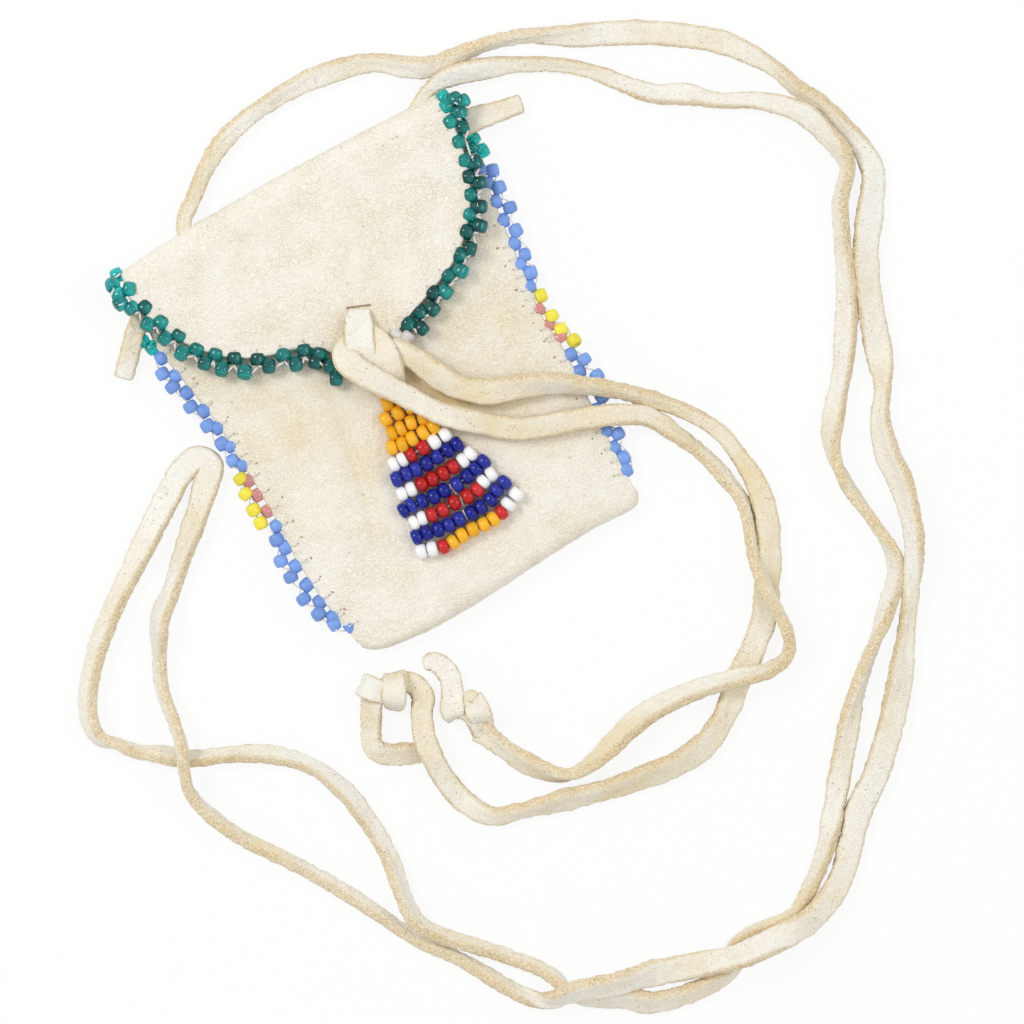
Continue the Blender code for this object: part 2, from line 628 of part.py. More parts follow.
def make_strap(name, part, material):
    """Flat lace that stands up through the slit and folds over onto the flap."""
    side = Vector((math.cos(strap_angle()), math.sin(strap_angle()), 0.0))
    run = Vector((*TIE_DIRECTION, 0.0))
    slit = Vector((*TIE_SLIT, 0.0))
    far = slit + run * STRAP_LENGTH
    flap_top = max(flap_mid(*TIE_SLIT), flap_mid(far.x, far.y)) + LEATHER / 2
    on_flap = flap_top + CLEARANCE + LACE_STRAP / 2
    bend = LACE_STRAP
    foot = LEATHER + CLEARANCE + LACE_STRAP / 2
    line = [slit + Vector((0, 0, foot)), slit + Vector((0, 0, on_flap - bend))]
    for i in range(1, 4):
        angle = math.pi / 2 * i / 3
        height = on_flap - bend * (1 - math.sin(angle))
        line.append(slit + run * bend * (1 - math.cos(angle)) + Vector((0, 0, height)))
    line.append(far + Vector((0, 0, on_flap)))
    bm = bmesh.new()
    rows = []
    for point in line:
        rows.append([bm.verts.new(point + side * LACE_STRAP_WIDTH / 2 * w) for w in (-1, 1)])
    for a, b in zip(rows, rows[1:]):
        bm.faces.new((a[0], a[1], b[1], b[0]))
    strap = add_mesh(name, bm, part, material)
    solid = strap.modifiers.new("thickness", "SOLIDIFY")
    solid.thickness = LACE_STRAP
    solid.offset = 0.0
    return strap


def make_tie(part, tools, material):
    tie = make_strap("tie_knot", part, material)
    for name, points in (("tie_loop", TIE_LOOP), ("tie_band", TIE_BAND)):
        cord = make_cord(name, tools, material, smooth_route(in_metres(points), TAIL_SAMPLE), LACE_DIAMETER / 2)
        boolean(tie, as_helper(cord_to_mesh(cord, material)), "UNION")
    for name, points in (("tie_tail_upper", TAIL_UPPER), ("tie_tail_lower", TAIL_LOWER)):
        make_cord(name, part, material, smooth_route(in_metres(points), TAIL_SAMPLE), LACE_DIAMETER / 2)


def make_end_knot(name, part, tools, material, points, ring, lean):
    """Overhand knot: one turn of lace round the tail, and the free end that comes out of it."""
    cord = make_cord(name, part, material, smooth_route(in_metres(points), TAIL_SAMPLE), KNOT_LACE)
    knot = cord_to_mesh(cord, material)
    bpy.ops.mesh.primitive_torus_add(
        major_segments=12, minor_segments=8, major_radius=KNOT_RING, minor_radius=KNOT_LACE,
        location=Vector(ring) * MM, rotation=lean)
    turn = bpy.context.active_object
    turn.name = name + "_turn"
    for collection in list(turn.users_collection):
        collection.objects.unlink(turn)
    tools.objects.link(turn)
    boolean(knot, as_helper(turn), "UNION")
    return knot


def main():
    clear_scene()
    part, tools = make_collections()
    materials = make_materials()
    make_pouch(part, tools, materials["deerskin"])
    make_flap_edging(part, tools, materials)
    for side in ("left", "right"):
        make_side_edging(side, part, tools, materials)
    make_triangle(part, materials)
    make_tie(part, tools, materials["lace"])
    make_end_knot("tail_knot_upper", part, tools, materials["lace"], UPPER_KNOT, UPPER_KNOT_RING,
                  (0.0, math.radians(62), math.radians(-12)))
    make_end_knot("tail_knot_lower", part, tools, materials["lace"], LOWER_KNOT, LOWER_KNOT_RING,
                  (math.radians(62), 0.0, math.radians(16)))
    make_cord("neck_cord", part, materials["lace"], neck_points(), LACE_DIAMETER / 2)


main()
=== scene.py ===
import math

import bmesh
import bpy
import numpy as np
from mathutils import Matrix, Vector


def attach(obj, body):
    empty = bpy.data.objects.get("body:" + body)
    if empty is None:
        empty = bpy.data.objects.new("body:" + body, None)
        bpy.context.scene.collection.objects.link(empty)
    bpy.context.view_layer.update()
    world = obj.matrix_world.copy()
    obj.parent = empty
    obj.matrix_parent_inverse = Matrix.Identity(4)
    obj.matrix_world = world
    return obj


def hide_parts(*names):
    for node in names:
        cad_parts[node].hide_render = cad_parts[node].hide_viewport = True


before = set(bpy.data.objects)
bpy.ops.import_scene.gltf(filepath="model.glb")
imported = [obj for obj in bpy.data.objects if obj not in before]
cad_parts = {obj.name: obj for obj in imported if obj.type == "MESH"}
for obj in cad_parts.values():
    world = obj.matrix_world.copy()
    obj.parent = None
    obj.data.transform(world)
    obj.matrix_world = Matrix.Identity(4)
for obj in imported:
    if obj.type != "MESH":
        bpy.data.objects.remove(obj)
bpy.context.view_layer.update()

# Lengths below are in millimetres and become metres when a mesh is made.
MM = 0.001
rng = np.random.default_rng(7)
scene = bpy.context.scene


def at(px, py):
    """Place on the floor, in the bag's own axes, of a point of the photograph."""
    u, v = px - 391.2, py - 381.0
    return np.array((0.17 * (u * 0.870 - v * 0.492), -0.17 * (u * 0.492 + v * 0.870)))


# Camera, straight above

camera_data = bpy.data.cameras.new("camera")
camera_data.lens = 310.0
camera_data.sensor_width = 36.0
camera_data.clip_end = 20.0
camera = bpy.data.objects.new("camera", camera_data)
camera.location = (0.0069, -0.0295, 0.174 * 310.0 / 36.0)
camera.rotation_euler = (0.0, 0.0, math.radians(-29.5))
scene.collection.objects.link(camera)
scene.camera = camera

# Materials


def new_material(name, roughness, **values):
    material = bpy.data.materials.new(name)
    material.use_nodes = True
    tree = material.node_tree
    shader = tree.nodes["Principled BSDF"]
    shader.inputs["Roughness"].default_value = roughness
    for key, value in values.items():
        shader.inputs[key.replace("_", " ")].default_value = value
    return material, tree, shader


def put(tree, kind, inputs=None, **settings):
    made = tree.nodes.new(kind)
    for key, value in settings.items():
        setattr(made, key, value)
    for key, value in (inputs or {}).items():
        socket = made.inputs[key]
        if isinstance(value, bpy.types.NodeSocket):
            tree.links.new(value, socket)
        else:
            socket.default_value = value
    return made


def noise(tree, where, size, detail=3.0, rough=0.55, lows=0.35, highs=0.65):
    """Noise with features of about size mm, stretched to 0..1."""
    made = put(tree, "ShaderNodeTexNoise", {"Vector": where, "Scale": 1.0 / (size * MM), "Detail": detail,
                                            "Roughness": rough})
    ranged = put(tree, "ShaderNodeMapRange", {"Value": made.outputs["Fac"], "From Min": lows, "From Max": highs})
    return ranged.outputs["Result"]


def maths(tree, operation, a, b, clamp=False):
    return put(tree, "ShaderNodeMath", {0: a, 1: b}, operation=operation, use_clamp=clamp).outputs[0]


def mixed(tree, factor, a, b, blend="MIX"):
    made = put(tree, "ShaderNodeMix", data_type="RGBA", blend_type=blend)
    for socket, value in ((made.inputs[0], factor), (made.inputs[6], a), (made.inputs[7], b)):
        if isinstance(value, bpy.types.NodeSocket):
            tree.links.new(value, socket)
        else:
            socket.default_value = value if isinstance(value, float) else (*value, 1.0)
    return made.outputs[2]


def attribute(tree, name):
    return put(tree, "ShaderNodeAttribute", attribute_name=name).outputs["Fac"]


PALE = (0.990, 0.972, 0.905)
NAP = (0.630, 0.510, 0.310)
# Tan of the skin's own tone; on the pouch the same tan also stands for painted shade.
TAN_AND_SHADE_TONE = (0.870, 0.720, 0.420)
# Brown of the painted shade between the two tails, where the tan value passes 1.
PAINTED_SHADE_BROWN = (0.970, 0.540, 0.175)
EDGE_LIGHT = (0.93, 0.82, 0.58)
EDGE_DARK = (0.66, 0.48, 0.25)
PORE = (0.140, 0.085, 0.040)


def suede(name, lace=False):
    """Pale skin with a mottled nap; a lace has grain-side pores and tan cut edges as well."""
    material, tree, shader = new_material(name, 0.95, Sheen_Weight=0.2, Sheen_Roughness=0.5)
    shader.inputs["Specular IOR Level"].default_value = 0.1
    where = put(tree, "ShaderNodeTexCoord").outputs["Object"]
    # Per-point tan value: the skin's own tan tone, and on the pouch also painted shade under the flap, around the tie,
    # in creases and between the tails.
    tan_and_shade = attribute(tree, "tan_and_shade")
    cloudy = noise(tree, where, 7.0, 4.0, 0.6, 0.38, 0.66)
    grain = noise(tree, where, 0.28, 1.0, 0.5, 0.41, 0.59)
    bent = put(tree, "ShaderNodeMapping", {"Vector": where, "Scale": (1.0, 2.2, 1.0), "Rotation": (0, 0, 0.9)})
    fibre = noise(tree, bent.outputs[0], 0.85, 3.0, 0.65, 0.38, 0.62)
    marks = maths(tree, "ADD", maths(tree, "MULTIPLY", grain, 0.72), maths(tree, "MULTIPLY", fibre, 0.28))
    strength = maths(tree, "ADD", 0.27 if lace else 0.40, maths(tree, "MULTIPLY", tan_and_shade, 0.34), True)
    speck = maths(tree, "MULTIPLY", maths(tree, "SUBTRACT", 1.0, marks), strength)
    speck = maths(tree, "MULTIPLY", speck, maths(tree, "ADD", 0.60, maths(tree, "MULTIPLY", cloudy, 0.75)))
    colour = mixed(tree, speck, PALE, NAP)
    tint = maths(tree, "MULTIPLY", tan_and_shade, maths(tree, "ADD", 0.48, maths(tree, "MULTIPLY", cloudy, 0.60)), True)
    colour = mixed(tree, tint, colour, TAN_AND_SHADE_TONE)
    # Painted shade: past 1 the tan value turns the colour toward the shade brown.
    colour = mixed(tree, maths(tree, "SUBTRACT", tan_and_shade, 1.0, True), colour, PAINTED_SHADE_BROWN)
    if lace:
        edge = attribute(tree, "edge")
        tone = mixed(tree, marks, EDGE_DARK, EDGE_LIGHT)
        edge_share = maths(tree, "MULTIPLY", edge, maths(tree, "ADD", 0.72, maths(tree, "MULTIPLY", cloudy, 0.30)), True)
        colour = mixed(tree, edge_share, colour, tone)
    pores = put(tree, "ShaderNodeTexVoronoi", {"Vector": where, "Scale": 1.0 / ((0.9 if lace else 1.6) * MM)})
    hole = put(tree, "ShaderNodeMapRange", {"Value": pores.outputs["Distance"], "From Min": 0.08, "From Max": 0.20,
                                            "To Min": 1.0, "To Max": 0.0}).outputs["Result"]
    seldom = noise(tree, where, 4.0, 3.0, 0.6, 0.48 if lace else 0.60, 0.56 if lace else 0.64)
    hole = maths(tree, "MULTIPLY", hole, maths(tree, "MULTIPLY", seldom, 0.6 if lace else 0.35))
    colour = mixed(tree, hole, colour, PORE)
    tree.links.new(colour, shader.inputs["Base Color"])
    height = maths(tree, "ADD", maths(tree, "MULTIPLY", grain, 0.5), maths(tree, "MULTIPLY", fibre, 0.8))
    height = maths(tree, "SUBTRACT", height, maths(tree, "MULTIPLY", hole, 0.8))
    bump = put(tree, "ShaderNodeBump", {"Height": height, "Strength": 0.7, "Distance": 0.11 * MM})
    tree.links.new(bump.outputs[0], shader.inputs["Normal"])
    return material


def glass(name, colour, roughness, clear=0.0, variation=0.25):
    material, tree, shader = new_material(name, roughness)
    shader.inputs["IOR"].default_value = 1.5
    shader.inputs["Transmission Weight"].default_value = clear
    shader.inputs["Specular IOR Level"].default_value = 0.32
    shader.inputs["Coat Weight"].default_value = 0.12
    shader.inputs["Coat Roughness"].default_value = 0.08
    # Each bead's own darker or lighter tone; on teal beads it also carries painted light and shade.
    tone = attribute(tree, "tone")
    where = put(tree, "ShaderNodeTexCoord").outputs["Object"]
    darker = tuple(c * (1.0 - variation) for c in colour)
    lighter = tuple(min(1.0, c * (1.0 + variation) + 0.02) for c in colour)
    shade = mixed(tree, tone, darker, lighter)
    cloud = noise(tree, where, 1.1, 2.0, 0.5, 0.35, 0.65)
    shade = mixed(tree, maths(tree, "MULTIPLY", cloud, 0.25), shade, darker)
    tree.links.new(shade, shader.inputs["Base Color"])
    bump = put(tree, "ShaderNodeBump", {"Height": cloud, "Strength": 0.15, "Distance": 0.05 * MM})
    tree.links.new(bump.outputs[0], shader.inputs["Normal"])
    return material


DEERSKIN = suede("deerskin")
LACE = suede("lace", lace=True)
GLASS = {
    "teal": glass("teal_glass", (0.003, 0.42, 0.40), 0.05, 0.70, 0.78),
    "sky_blue": glass("sky_blue_glass", (0.20, 0.36, 0.80), 0.38, 0.0, 0.12),
    "yellow": glass("yellow_glass", (0.90, 0.77, 0.06), 0.32, 0.0, 0.12),
    "rose": glass("rose_glass", (0.95, 0.42, 0.40), 0.18, 0.4, 0.12),
    "B": glass("royal_blue_glass", (0.003, 0.013, 0.285), 0.14, 0.0, 0.2),
    "R": glass("red_glass", (0.58, 0.012, 0.012), 0.16, 0.0, 0.2),
    "W": glass("white_glass", (0.95, 0.95, 0.96), 0.22, 0.0, 0.03),
    "pearl": glass("pearl_glass", (0.66, 0.63, 0.62), 0.3, 0.0, 0.08),
    "Y": glass("orange_glass", (0.95, 0.45, 0.010), 0.18, 0.0, 0.12),
}


def thread_material(name, colour):
    material, tree, shader = new_material(name, 0.6)
    where = put(tree, "ShaderNodeTexCoord").outputs["Object"]
    ply = noise(tree, where, 0.25, 2.0)
    tree.links.new(mixed(tree, ply, tuple(c * 0.8 for c in colour), colour), shader.inputs["Base Color"])
    return material


THREAD = thread_material("white_thread", (0.86, 0.85, 0.82))
BROWN = thread_material("stitch_shadow", (0.42, 0.30, 0.17))

# Mesh helpers

CORNER = 0.28  # corner radius of a strip, as a share of its thickness


def make(name, verts, faces, material, attributes=None, sharp=None):
    mesh = bpy.data.meshes.new(name)
    mesh.from_pydata((np.asarray(verts) * MM).tolist(), [], [tuple(int(i) for i in f) for f in faces])
    mesh.validate()
    for key, values in (attributes or {}).items():
        layer = mesh.attributes.new(key, "FLOAT", "POINT")
        layer.data.foreach_set("value", np.asarray(values, np.float32))
    mesh.materials.append(material)
    obj = bpy.data.objects.new(name, mesh)
    scene.collection.objects.link(obj)
    mesh.shade_smooth()
    if sharp:
        mesh.set_sharp_from_angle(angle=math.radians(sharp))
    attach(obj, "root")
    return obj


def unit(v):
    return v / np.maximum(np.linalg.norm(v, axis=-1, keepdims=True), 1e-12)


def curve_through(points, step):
    """Smooth curve through the points (centripetal Catmull-Rom), resampled about every step mm."""
    p = np.asarray(points, float)
    p = np.vstack((2 * p[0] - p[1], p, 2 * p[-1] - p[-2]))
    out = []
    for p0, p1, p2, p3 in zip(p, p[1:], p[2:], p[3:]):
        k = [0.0]
        for a, b in ((p0, p1), (p1, p2), (p2, p3)):
            k.append(k[-1] + max(np.linalg.norm(b[:2] - a[:2]) ** 0.5, 1e-6))
        t0, t1, t2, t3 = k
        for t in np.linspace(t1, t2, 12, endpoint=False):
            a1 = p0 + (p1 - p0) * (t - t0) / (t1 - t0)
            a2 = p1 + (p2 - p1) * (t - t1) / (t2 - t1)
            a3 = p2 + (p3 - p2) * (t - t2) / (t3 - t2)
            b1 = a1 + (a2 - a1) * (t - t0) / (t2 - t0)
            b2 = a2 + (a3 - a2) * (t - t1) / (t3 - t1)
            out.append(b1 + (b2 - b1) * (t - t1) / (t2 - t1))
    out.append(p[-2])
    return resample(np.array(out), step)


def resample(points, step):
    along = np.concatenate(([0.0], np.cumsum(np.linalg.norm(np.diff(points, axis=0), axis=1))))
    count = max(2, int(round(along[-1] / step)) + 1)
    wanted = np.linspace(0, along[-1], count)
    return np.stack([np.interp(wanted, along, points[:, i]) for i in range(points.shape[1])], axis=1)


def arc_length(points):
    return np.concatenate(([0.0], np.cumsum(np.linalg.norm(np.diff(points, axis=0), axis=1))))


def smooth(values, width):
    """Moving average over width samples, ends held."""
    if width < 2:
        return values
    pad = width // 2
    padded = np.concatenate((np.full(pad, values[0]), values, np.full(pad, values[-1])))
    kernel = np.hanning(2 * pad + 3)[1:-1]
    return np.convolve(padded, kernel / kernel.sum(), "same")[pad:-pad]


def keyed(path, keys):
    """Values along a path from keys (x, y, value), in the path's order, matched to its nearest points."""
    s = arc_length(path[:, :2])
    found, values, start = [], [], 0
    for x, y, value in keys:
        gap = np.hypot(path[start:, 0] - x, path[start:, 1] - y)
        reach = np.searchsorted(s, s[start] + 260.0) - start
        i = start + int(np.argmin(gap[:max(reach, 2)]))
        found.append(s[i])
        values.append(value)
        start = i
    return np.interp(s, found, values)


def section(faces=7, sides=3):
    """Rounded strip section for a unit core: (core x, core y, corner x, corner y) and how far each point is on an edge."""
    points, edge = [], []
    for sx, sy, lead in ((1, 1, "face"), (-1, 1, "side"), (-1, -1, "face"), (1, -1, "side")):
        for i in range(3):
            angle = math.pi / 2 * (i / 2)
            c, s = (math.cos(angle), math.sin(angle)) if lead == "face" else (math.sin(angle), math.cos(angle))
            points.append((sx * 0.5, sy * 0.5, sx * c, sy * s))
            edge.append(c)
        if lead == "face":
            for i in range(1, faces):
                points.append((sx * (0.5 - i / faces), sy * 0.5, 0.0, sy))
                edge.append(0.0)
        else:
            for i in range(1, sides):
                points.append((sx * 0.5, sy * (0.5 - i / sides), sx, 0.0))
                edge.append(1.0)
    return np.array(points), np.array(edge)


def strip(name, path, roll, width, thick, material, fuzz=0.05, tan_and_shade=0.3, cup=0.10):
    """A flat lace swept along a path of ring centres, rolled about it, its faces a little hollow."""
    n = len(path)
    width = np.broadcast_to(np.asarray(width, float), (n,))[:, None]
    corner = CORNER * thick
    tangent = unit(np.gradient(path, axis=0))
    up = np.broadcast_to(np.array((0.0, 0.0, 1.0)), (n, 3))
    up = unit(up - tangent * (up * tangent).sum(1, keepdims=True))
    side = np.cross(up, tangent)
    a = np.radians(np.broadcast_to(np.asarray(roll, float), (n,)))[:, None]
    across = np.cos(a) * side + np.sin(a) * up
    normal = -np.sin(a) * side + np.cos(a) * up
    shape, edge = section()
    m = len(shape)
    x = shape[None, :, 0] * (width - 2 * corner) + shape[None, :, 2] * corner
    y = shape[None, :, 1] * (thick - 2 * corner) + shape[None, :, 3] * corner
    slow = np.stack([smooth(rng.normal(0, 1, n), 31) * 5 for _ in range(2)])
    y = y * (1 - cup * (1 + slow[0][:, None]) * np.cos(np.pi * x / width) ** 2) + 0.10 * slow[1][:, None] * np.sin(
        np.pi * x / width)
    verts = path[:, None] + across[:, None] * x[..., None] + normal[:, None] * y[..., None]
    lump = rng.normal(0, 1, (n, m))
    lump = lump + 0.6 * (np.roll(lump, 1, 0) + np.roll(lump, 1, 1))
    verts += unit(verts - path[:, None]) * (fuzz * lump)[..., None]
    edges = np.broadcast_to(edge, (n, m))
    warmth = np.broadcast_to(np.broadcast_to(np.asarray(tan_and_shade, float), (n,))[:, None], (n, m))
    first = path[0] + (verts[0] - path[0]) * 0.72 - tangent[0] * 0.3
    last = path[-1] + (verts[-1] - path[-1]) * 0.72 + tangent[-1] * 0.3
    verts = np.concatenate((first[None], verts, last[None]))
    edges = np.concatenate((np.ones((1, m)), edges, np.ones((1, m))))
    warmth = np.concatenate((warmth[:1], warmth, warmth[-1:]))
    n = len(verts)
    faces = []
    for i in range(n - 1):
        for j in range(m):
            k = (j + 1) % m
            faces.append((i * m + j, i * m + k, (i + 1) * m + k, (i + 1) * m + j))
    faces.append(tuple(reversed(range(m))))
    faces.append(tuple(range((n - 1) * m, n * m)))
    return make(name, verts.reshape(-1, 3), faces, material,
                {"edge": edges.reshape(-1), "tan_and_shade": warmth.reshape(-1)})


def tube(points, radius, sides=6):
    p = np.asarray(points, float)
    tangent = unit(np.gradient(p, axis=0))
    spare = np.array((0.0, 0.0, 1.0)) if abs(tangent[0][2]) < 0.9 else np.array((1.0, 0.0, 0.0))
    u = unit(np.cross(tangent, spare))
    v = np.cross(tangent, u)
    angle = 2 * np.pi * np.arange(sides) / sides
    ring = np.cos(angle)[None, :, None] * u[:, None] + np.sin(angle)[None, :, None] * v[:, None]
    verts = (p[:, None] + radius * ring).reshape(-1, 3)
    faces = []
    for i in range(len(p) - 1):
        for j in range(sides):
            k = (j + 1) % sides
            faces.append((i * sides + j, i * sides + k, (i + 1) * sides + k, (i + 1) * sides + j))
    faces.append(tuple(reversed(range(sides))))
    faces.append(tuple(range((len(p) - 1) * sides, len(p) * sides)))
    return verts, faces


class Pile:
    """Gathers many small shapes into one piece."""

    def __init__(self):
        self.verts, self.faces, self.tones, self.count = [], [], [], 0

    def add(self, verts, faces, tone=0.5):
        self.verts.append(np.asarray(verts))
        self.faces += [tuple(i + self.count for i in f) for f in faces]
        self.tones += np.broadcast_to(tone, len(verts)).tolist()
        self.count += len(verts)

    def made(self, name, material, sharp=None):
        return make(name, np.concatenate(self.verts), self.faces, material, {"tone": self.tones}, sharp)


# Laces: the routes of the CAD solids, with the photograph's own bends

LACE_WIDTH = 3.8
LACE_THICK = 2.1

NECK_LEFT = (
    (-38.8, 23.7, 0.0), (-35.9, 27.6, 0.2), (-32.7, 31.0, 0.5), (-27.5, 32.4, 0.55), (-23.4, 32.4, 0.55),
    (-20.2, 33.4, 0.6), (-18.6, 35.4, 0.6), (-17.8, 38.2, 0.6), (-17.0, 41.0, 0.4), (-14.9, 44.4, 0.1),
    (-10.1, 47.7, 0.0), (7.2, 53.1, 0.0), (19.4, 50.7, 0.0), (32.8, 43.8, 0.0), (49.3, 39.9, 0.0),
    (55.1, 36.0, 0.0), (76.8, 22.6, 0.0), (89.7, -5.6, 0.0), (81.9, -19.4, 0.0), (74.1, -38.0, 0.0),
    (69.0, -46.7, 0.0), (67.2, -57.7, 0.2), (62.6, -68.4, 0.7), (59.0, -76.0, 0.2), (43.1, -95.2, 0.0),
    (38.0, -98.8, 0.0), (25.7, -110.8, 0.0), (16.2, -114.8, 0.5), (3.2, -114.0, 1.05), (-5.0, -111.2, 0.5),
    (-11.1, -108.7, 0.5), (-18.6, -107.6, 1.05), (-32.4, -101.4, 0.0), (-38.5, -91.0, 0.0),
    (-46.3, -79.0, 0.0), (-63.2, -48.9, 0.3), (-62.9, -40.1, 1.0), (-61.4, -36.3, 1.0),
    (-58.6, -28.0, 0.2), (-56.9, -20.9, 0.0), (-34.3, 2.2, 0.0), (-35.0, 5.5, 0.0),
)
NECK_RIGHT = (
    (-35.0, 5.5, 0.0), (-43.2, 1.8, 0.0), (-60.8, -10.1, 0.0), (-74.1, -25.3, 0.0), (-71.8, -28.5, 0.0),
    (-61.7, -39.3, 0.0), (-49.7, -44.9, 0.0), (-44.6, -50.1, 0.0), (-40.2, -63.7, 0.0), (-41.7, -81.6, 0.6),
    (-30.2, -95.5, 0.0), (-13.9, -113.6, 0.0), (1.9, -115.8, 0.0), (3.4, -111.4, 0.0), (14.4, -111.4, 0.0),
    (19.2, -109.4, 0.0), (29.0, -101.1, 0.0), (41.2, -86.2, 0.0), (55.6, -73.8, 0.0), (59.4, -70.5, 0.0),
    (59.4, -47.1, 0.0), (71.5, -30.5, 0.0), (81.3, -11.1, 0.0), (85.9, -4.1, 0.2), (81.1, 8.2, 0.6),
    (62.9, 20.1, 0.0), (56.3, 28.3, 0.0), (44.5, 36.6, 0.0), (38.4, 39.2, 0.1), (33.4, 40.6, 0.3),
    (29.4, 40.3, 0.5), (26.7, 38.4, 0.6), (25.8, 35.9, 0.6), (26.8, 33.5, 0.55), (29.7, 32.3, 0.5),
    (33.7, 31.9, 0.45), (38.0, 31.0, 0.2), (42.1, 30.0, 0.0),
)
TAIL_UPPER = (
    (2.5, 6.5, 7.6), (5.9, 1.8, 7.9), (10.9, -7.5, 6.9), (18.5, -12.0, 6.4), (28.1, -16.5, 4.9), (32.6, -19.6, 4.0),
    (38.2, -25.0, 1.9), (44.7, -34.8, 1.3), (45.0, -51.4, 1.3), (35.5, -65.9, 1.3), (30.7, -69.9, 1.3),
    (15.8, -78.6, 1.3), (10.1, -79.7, 1.3), (-9.4, -76.7, 1.3), (-16.3, -74.7, 1.3), (-21.2, -72.7, 1.3),
    (-24.6, -64.5, 1.9), (-25.2, -57.8, 4.0), (-22.7, -50.6, 2.0), (-21.2, -47.6, 1.4),
)
TAIL_LOWER = (
    (1.9, -4.4, 9.3), (5.1, -8.9, 9.1), (8.2, -12.3, 8.0), (12.5, -15.5, 7.0), (14.9, -17.9, 6.7),
    (25.4, -21.2, 5.3), (30.4, -23.6, 4.4), (35.0, -26.8, 3.0), (39.3, -35.2, 1.4), (42.1, -47.3, 1.3),
    (39.3, -55.8, 2.0), (38.0, -61.9, 4.2), (37.7, -65.2, 4.2), (36.9, -72.2, 2.4), (33.2, -74.0, 2.8),
    (28.6, -72.9, 4.2), (24.6, -72.1, 4.2), (14.5, -70.6, 1.6), (8.5, -70.8, 1.3), (-5.8, -73.6, 1.3),
    (-12.2, -67.5, 1.3), (-14.6, -62.4, 1.5),
)
STRAND_A = (
    (184, 226, 10), (193.2, 200.1, 15.2), (206.2, 169.1, 17.2), (224.6, 140.5, 19.2), (250.3, 116.4, 17.6),
    (279.9, 96.5, 20.2), (309.7, 80.6, 22.4), (344.5, 68.9, 22), (376, 63, 19.5), (409, 68, 22.4),
    (434.8, 66.6, 19.7), (464.8, 53.1, 16.9), (496.4, 41.5, 15.2), (528.1, 36.5, 16.8), (569, 36.5, 24.8),
    (607, 34, 24.4), (649, 33, 26), (686.8, 36.5, 23.6), (719, 42, 24.4), (751.4, 55.1, 21.6), (775.9, 70.2, 14.8),
    (798.1, 89.2, 17.3), (824, 108, 19), (851.5, 135.3, 19), (863.5, 151.8, 22.2), (873, 173.6, 23.2),
    (870.5, 205.1, 27.8), (866, 243, 27), (867, 282.1, 26.5), (873, 323, 27), (880, 361, 28.6), (882.5, 387, 16.4),
    (880, 420, 22), (887.1, 455.3, 27), (900.5, 483.2, 23.6), (909, 515.2, 22), (913.5, 548, 20.3),
    (910.5, 585.8, 19.3), (906, 630.1, 16.4), (901, 670.1, 26), (893.7, 710.1, 26.6), (885.5, 742.9, 27.8),
    (874.4, 777.5, 27), (859.5, 808.8, 26.8), (851, 840.7, 25.5), (842.5, 873.2, 24.2), (828.4, 898.6, 25.6),
    (806.7, 921.6, 26.8), (770, 941, 25.9), (737.7, 955, 26.5), (695.3, 964.5, 26.3), (650, 973, 27),
    (611.4, 983.6, 28.2), (577.7, 989.5, 29.4), (545.9, 1000, 14.8), (519.2, 993.5, 15.6), (488.8, 975.7, 13.6),
    (456, 957, 14), (420, 941, 14), (381.3, 915.6, 13.2), (337, 887, 10.8), (290.3, 861.3, 14), (243.7, 838.4, 15.2),
    (209.3, 813.6, 16.8), (190.4, 791.8, 14.8), (185, 768.8, 13.5), (182.5, 744.9, 14.2), (172.9, 716.7, 14),
    (162, 687, 10.4), (160, 653, 16), (160.5, 619.1, 24.4), (171.7, 590.6, 16.2), (182.7, 556.2, 20),
    (194.4, 523.5, 24.2), (205.5, 488.1, 25.2), (211, 464, 25), (197.2, 458.5, 24.2),
)
STRAND_B = (
    (198.7, 457.7, 26.5), (182, 472, 27), (167.4, 498.2, 26.2), (150.9, 531.4, 26), (132.5, 569.2, 22.2),
    (112.7, 610.3, 20.8), (96.4, 653.4, 19.2), (88, 700.1, 19.2), (90.7, 722.7, 21.6), (100.6, 738.6, 24.4),
    (117.9, 743.5, 25.2), (135.4, 750.9, 16.4), (156.1, 753.5, 18.8), (189, 758.5, 19.2), (225, 755, 18),
    (267, 754, 20), (309, 765, 16.4), (344.3, 790.6, 21.2), (370.4, 823.7, 18.2), (390.9, 859.6, 18),
    (402.9, 893.6, 19.6), (416.7, 920.5, 19.1), (436.2, 932.5, 18.2), (472.2, 944.5, 16.4), (513, 958, 14.4),
    (546.7, 971.7, 16), (576.5, 994.4, 24.2), (625.1, 997.5, 23.8), (649, 1002, 22.5), (678.2, 996.6, 20.8),
    (711.7, 982.6, 20.8), (734.1, 965.5, 19.5), (733.3, 945.7, 18.3), (755.2, 930.4, 17.8), (791.4, 915.8, 15.9),
    (809.2, 888.1, 15.9), (823.7, 853.2, 18.6), (832.5, 814.9, 22.2), (839, 777, 22.4), (846, 739, 22.4),
    (853.2, 703.1, 19.6), (864, 668, 16), (877.5, 634.2, 18.8), (888.2, 602.4, 18), (896.5, 574, 20.2),
    (890.9, 550.6, 19.5), (870, 518, 18.4), (846.8, 485.1, 20.2), (831.4, 447.5, 25.2), (834.5, 408.6, 21.6),
    (841.5, 375.1, 21.2), (845.5, 330, 23.2), (847, 291, 20.5), (842.5, 243, 17.8), (840, 201.9, 18), (847, 170, 18),
    (841.9, 153.6, 20.6), (825.9, 135, 21.7), (806.8, 116.9, 23.1), (781.9, 106.5, 20.8), (750.8, 101, 16.8),
    (718.9, 101.5, 11.6), (686.9, 95, 23.6), (654.9, 94.5, 19.2), (631.8, 87.5, 17.6), (598, 74, 16.4),
    (558.9, 65.5, 8.8), (512.1, 65.5, 17.2), (474, 71, 24), (442.4, 80.7, 19.4), (425, 96, 12),
)
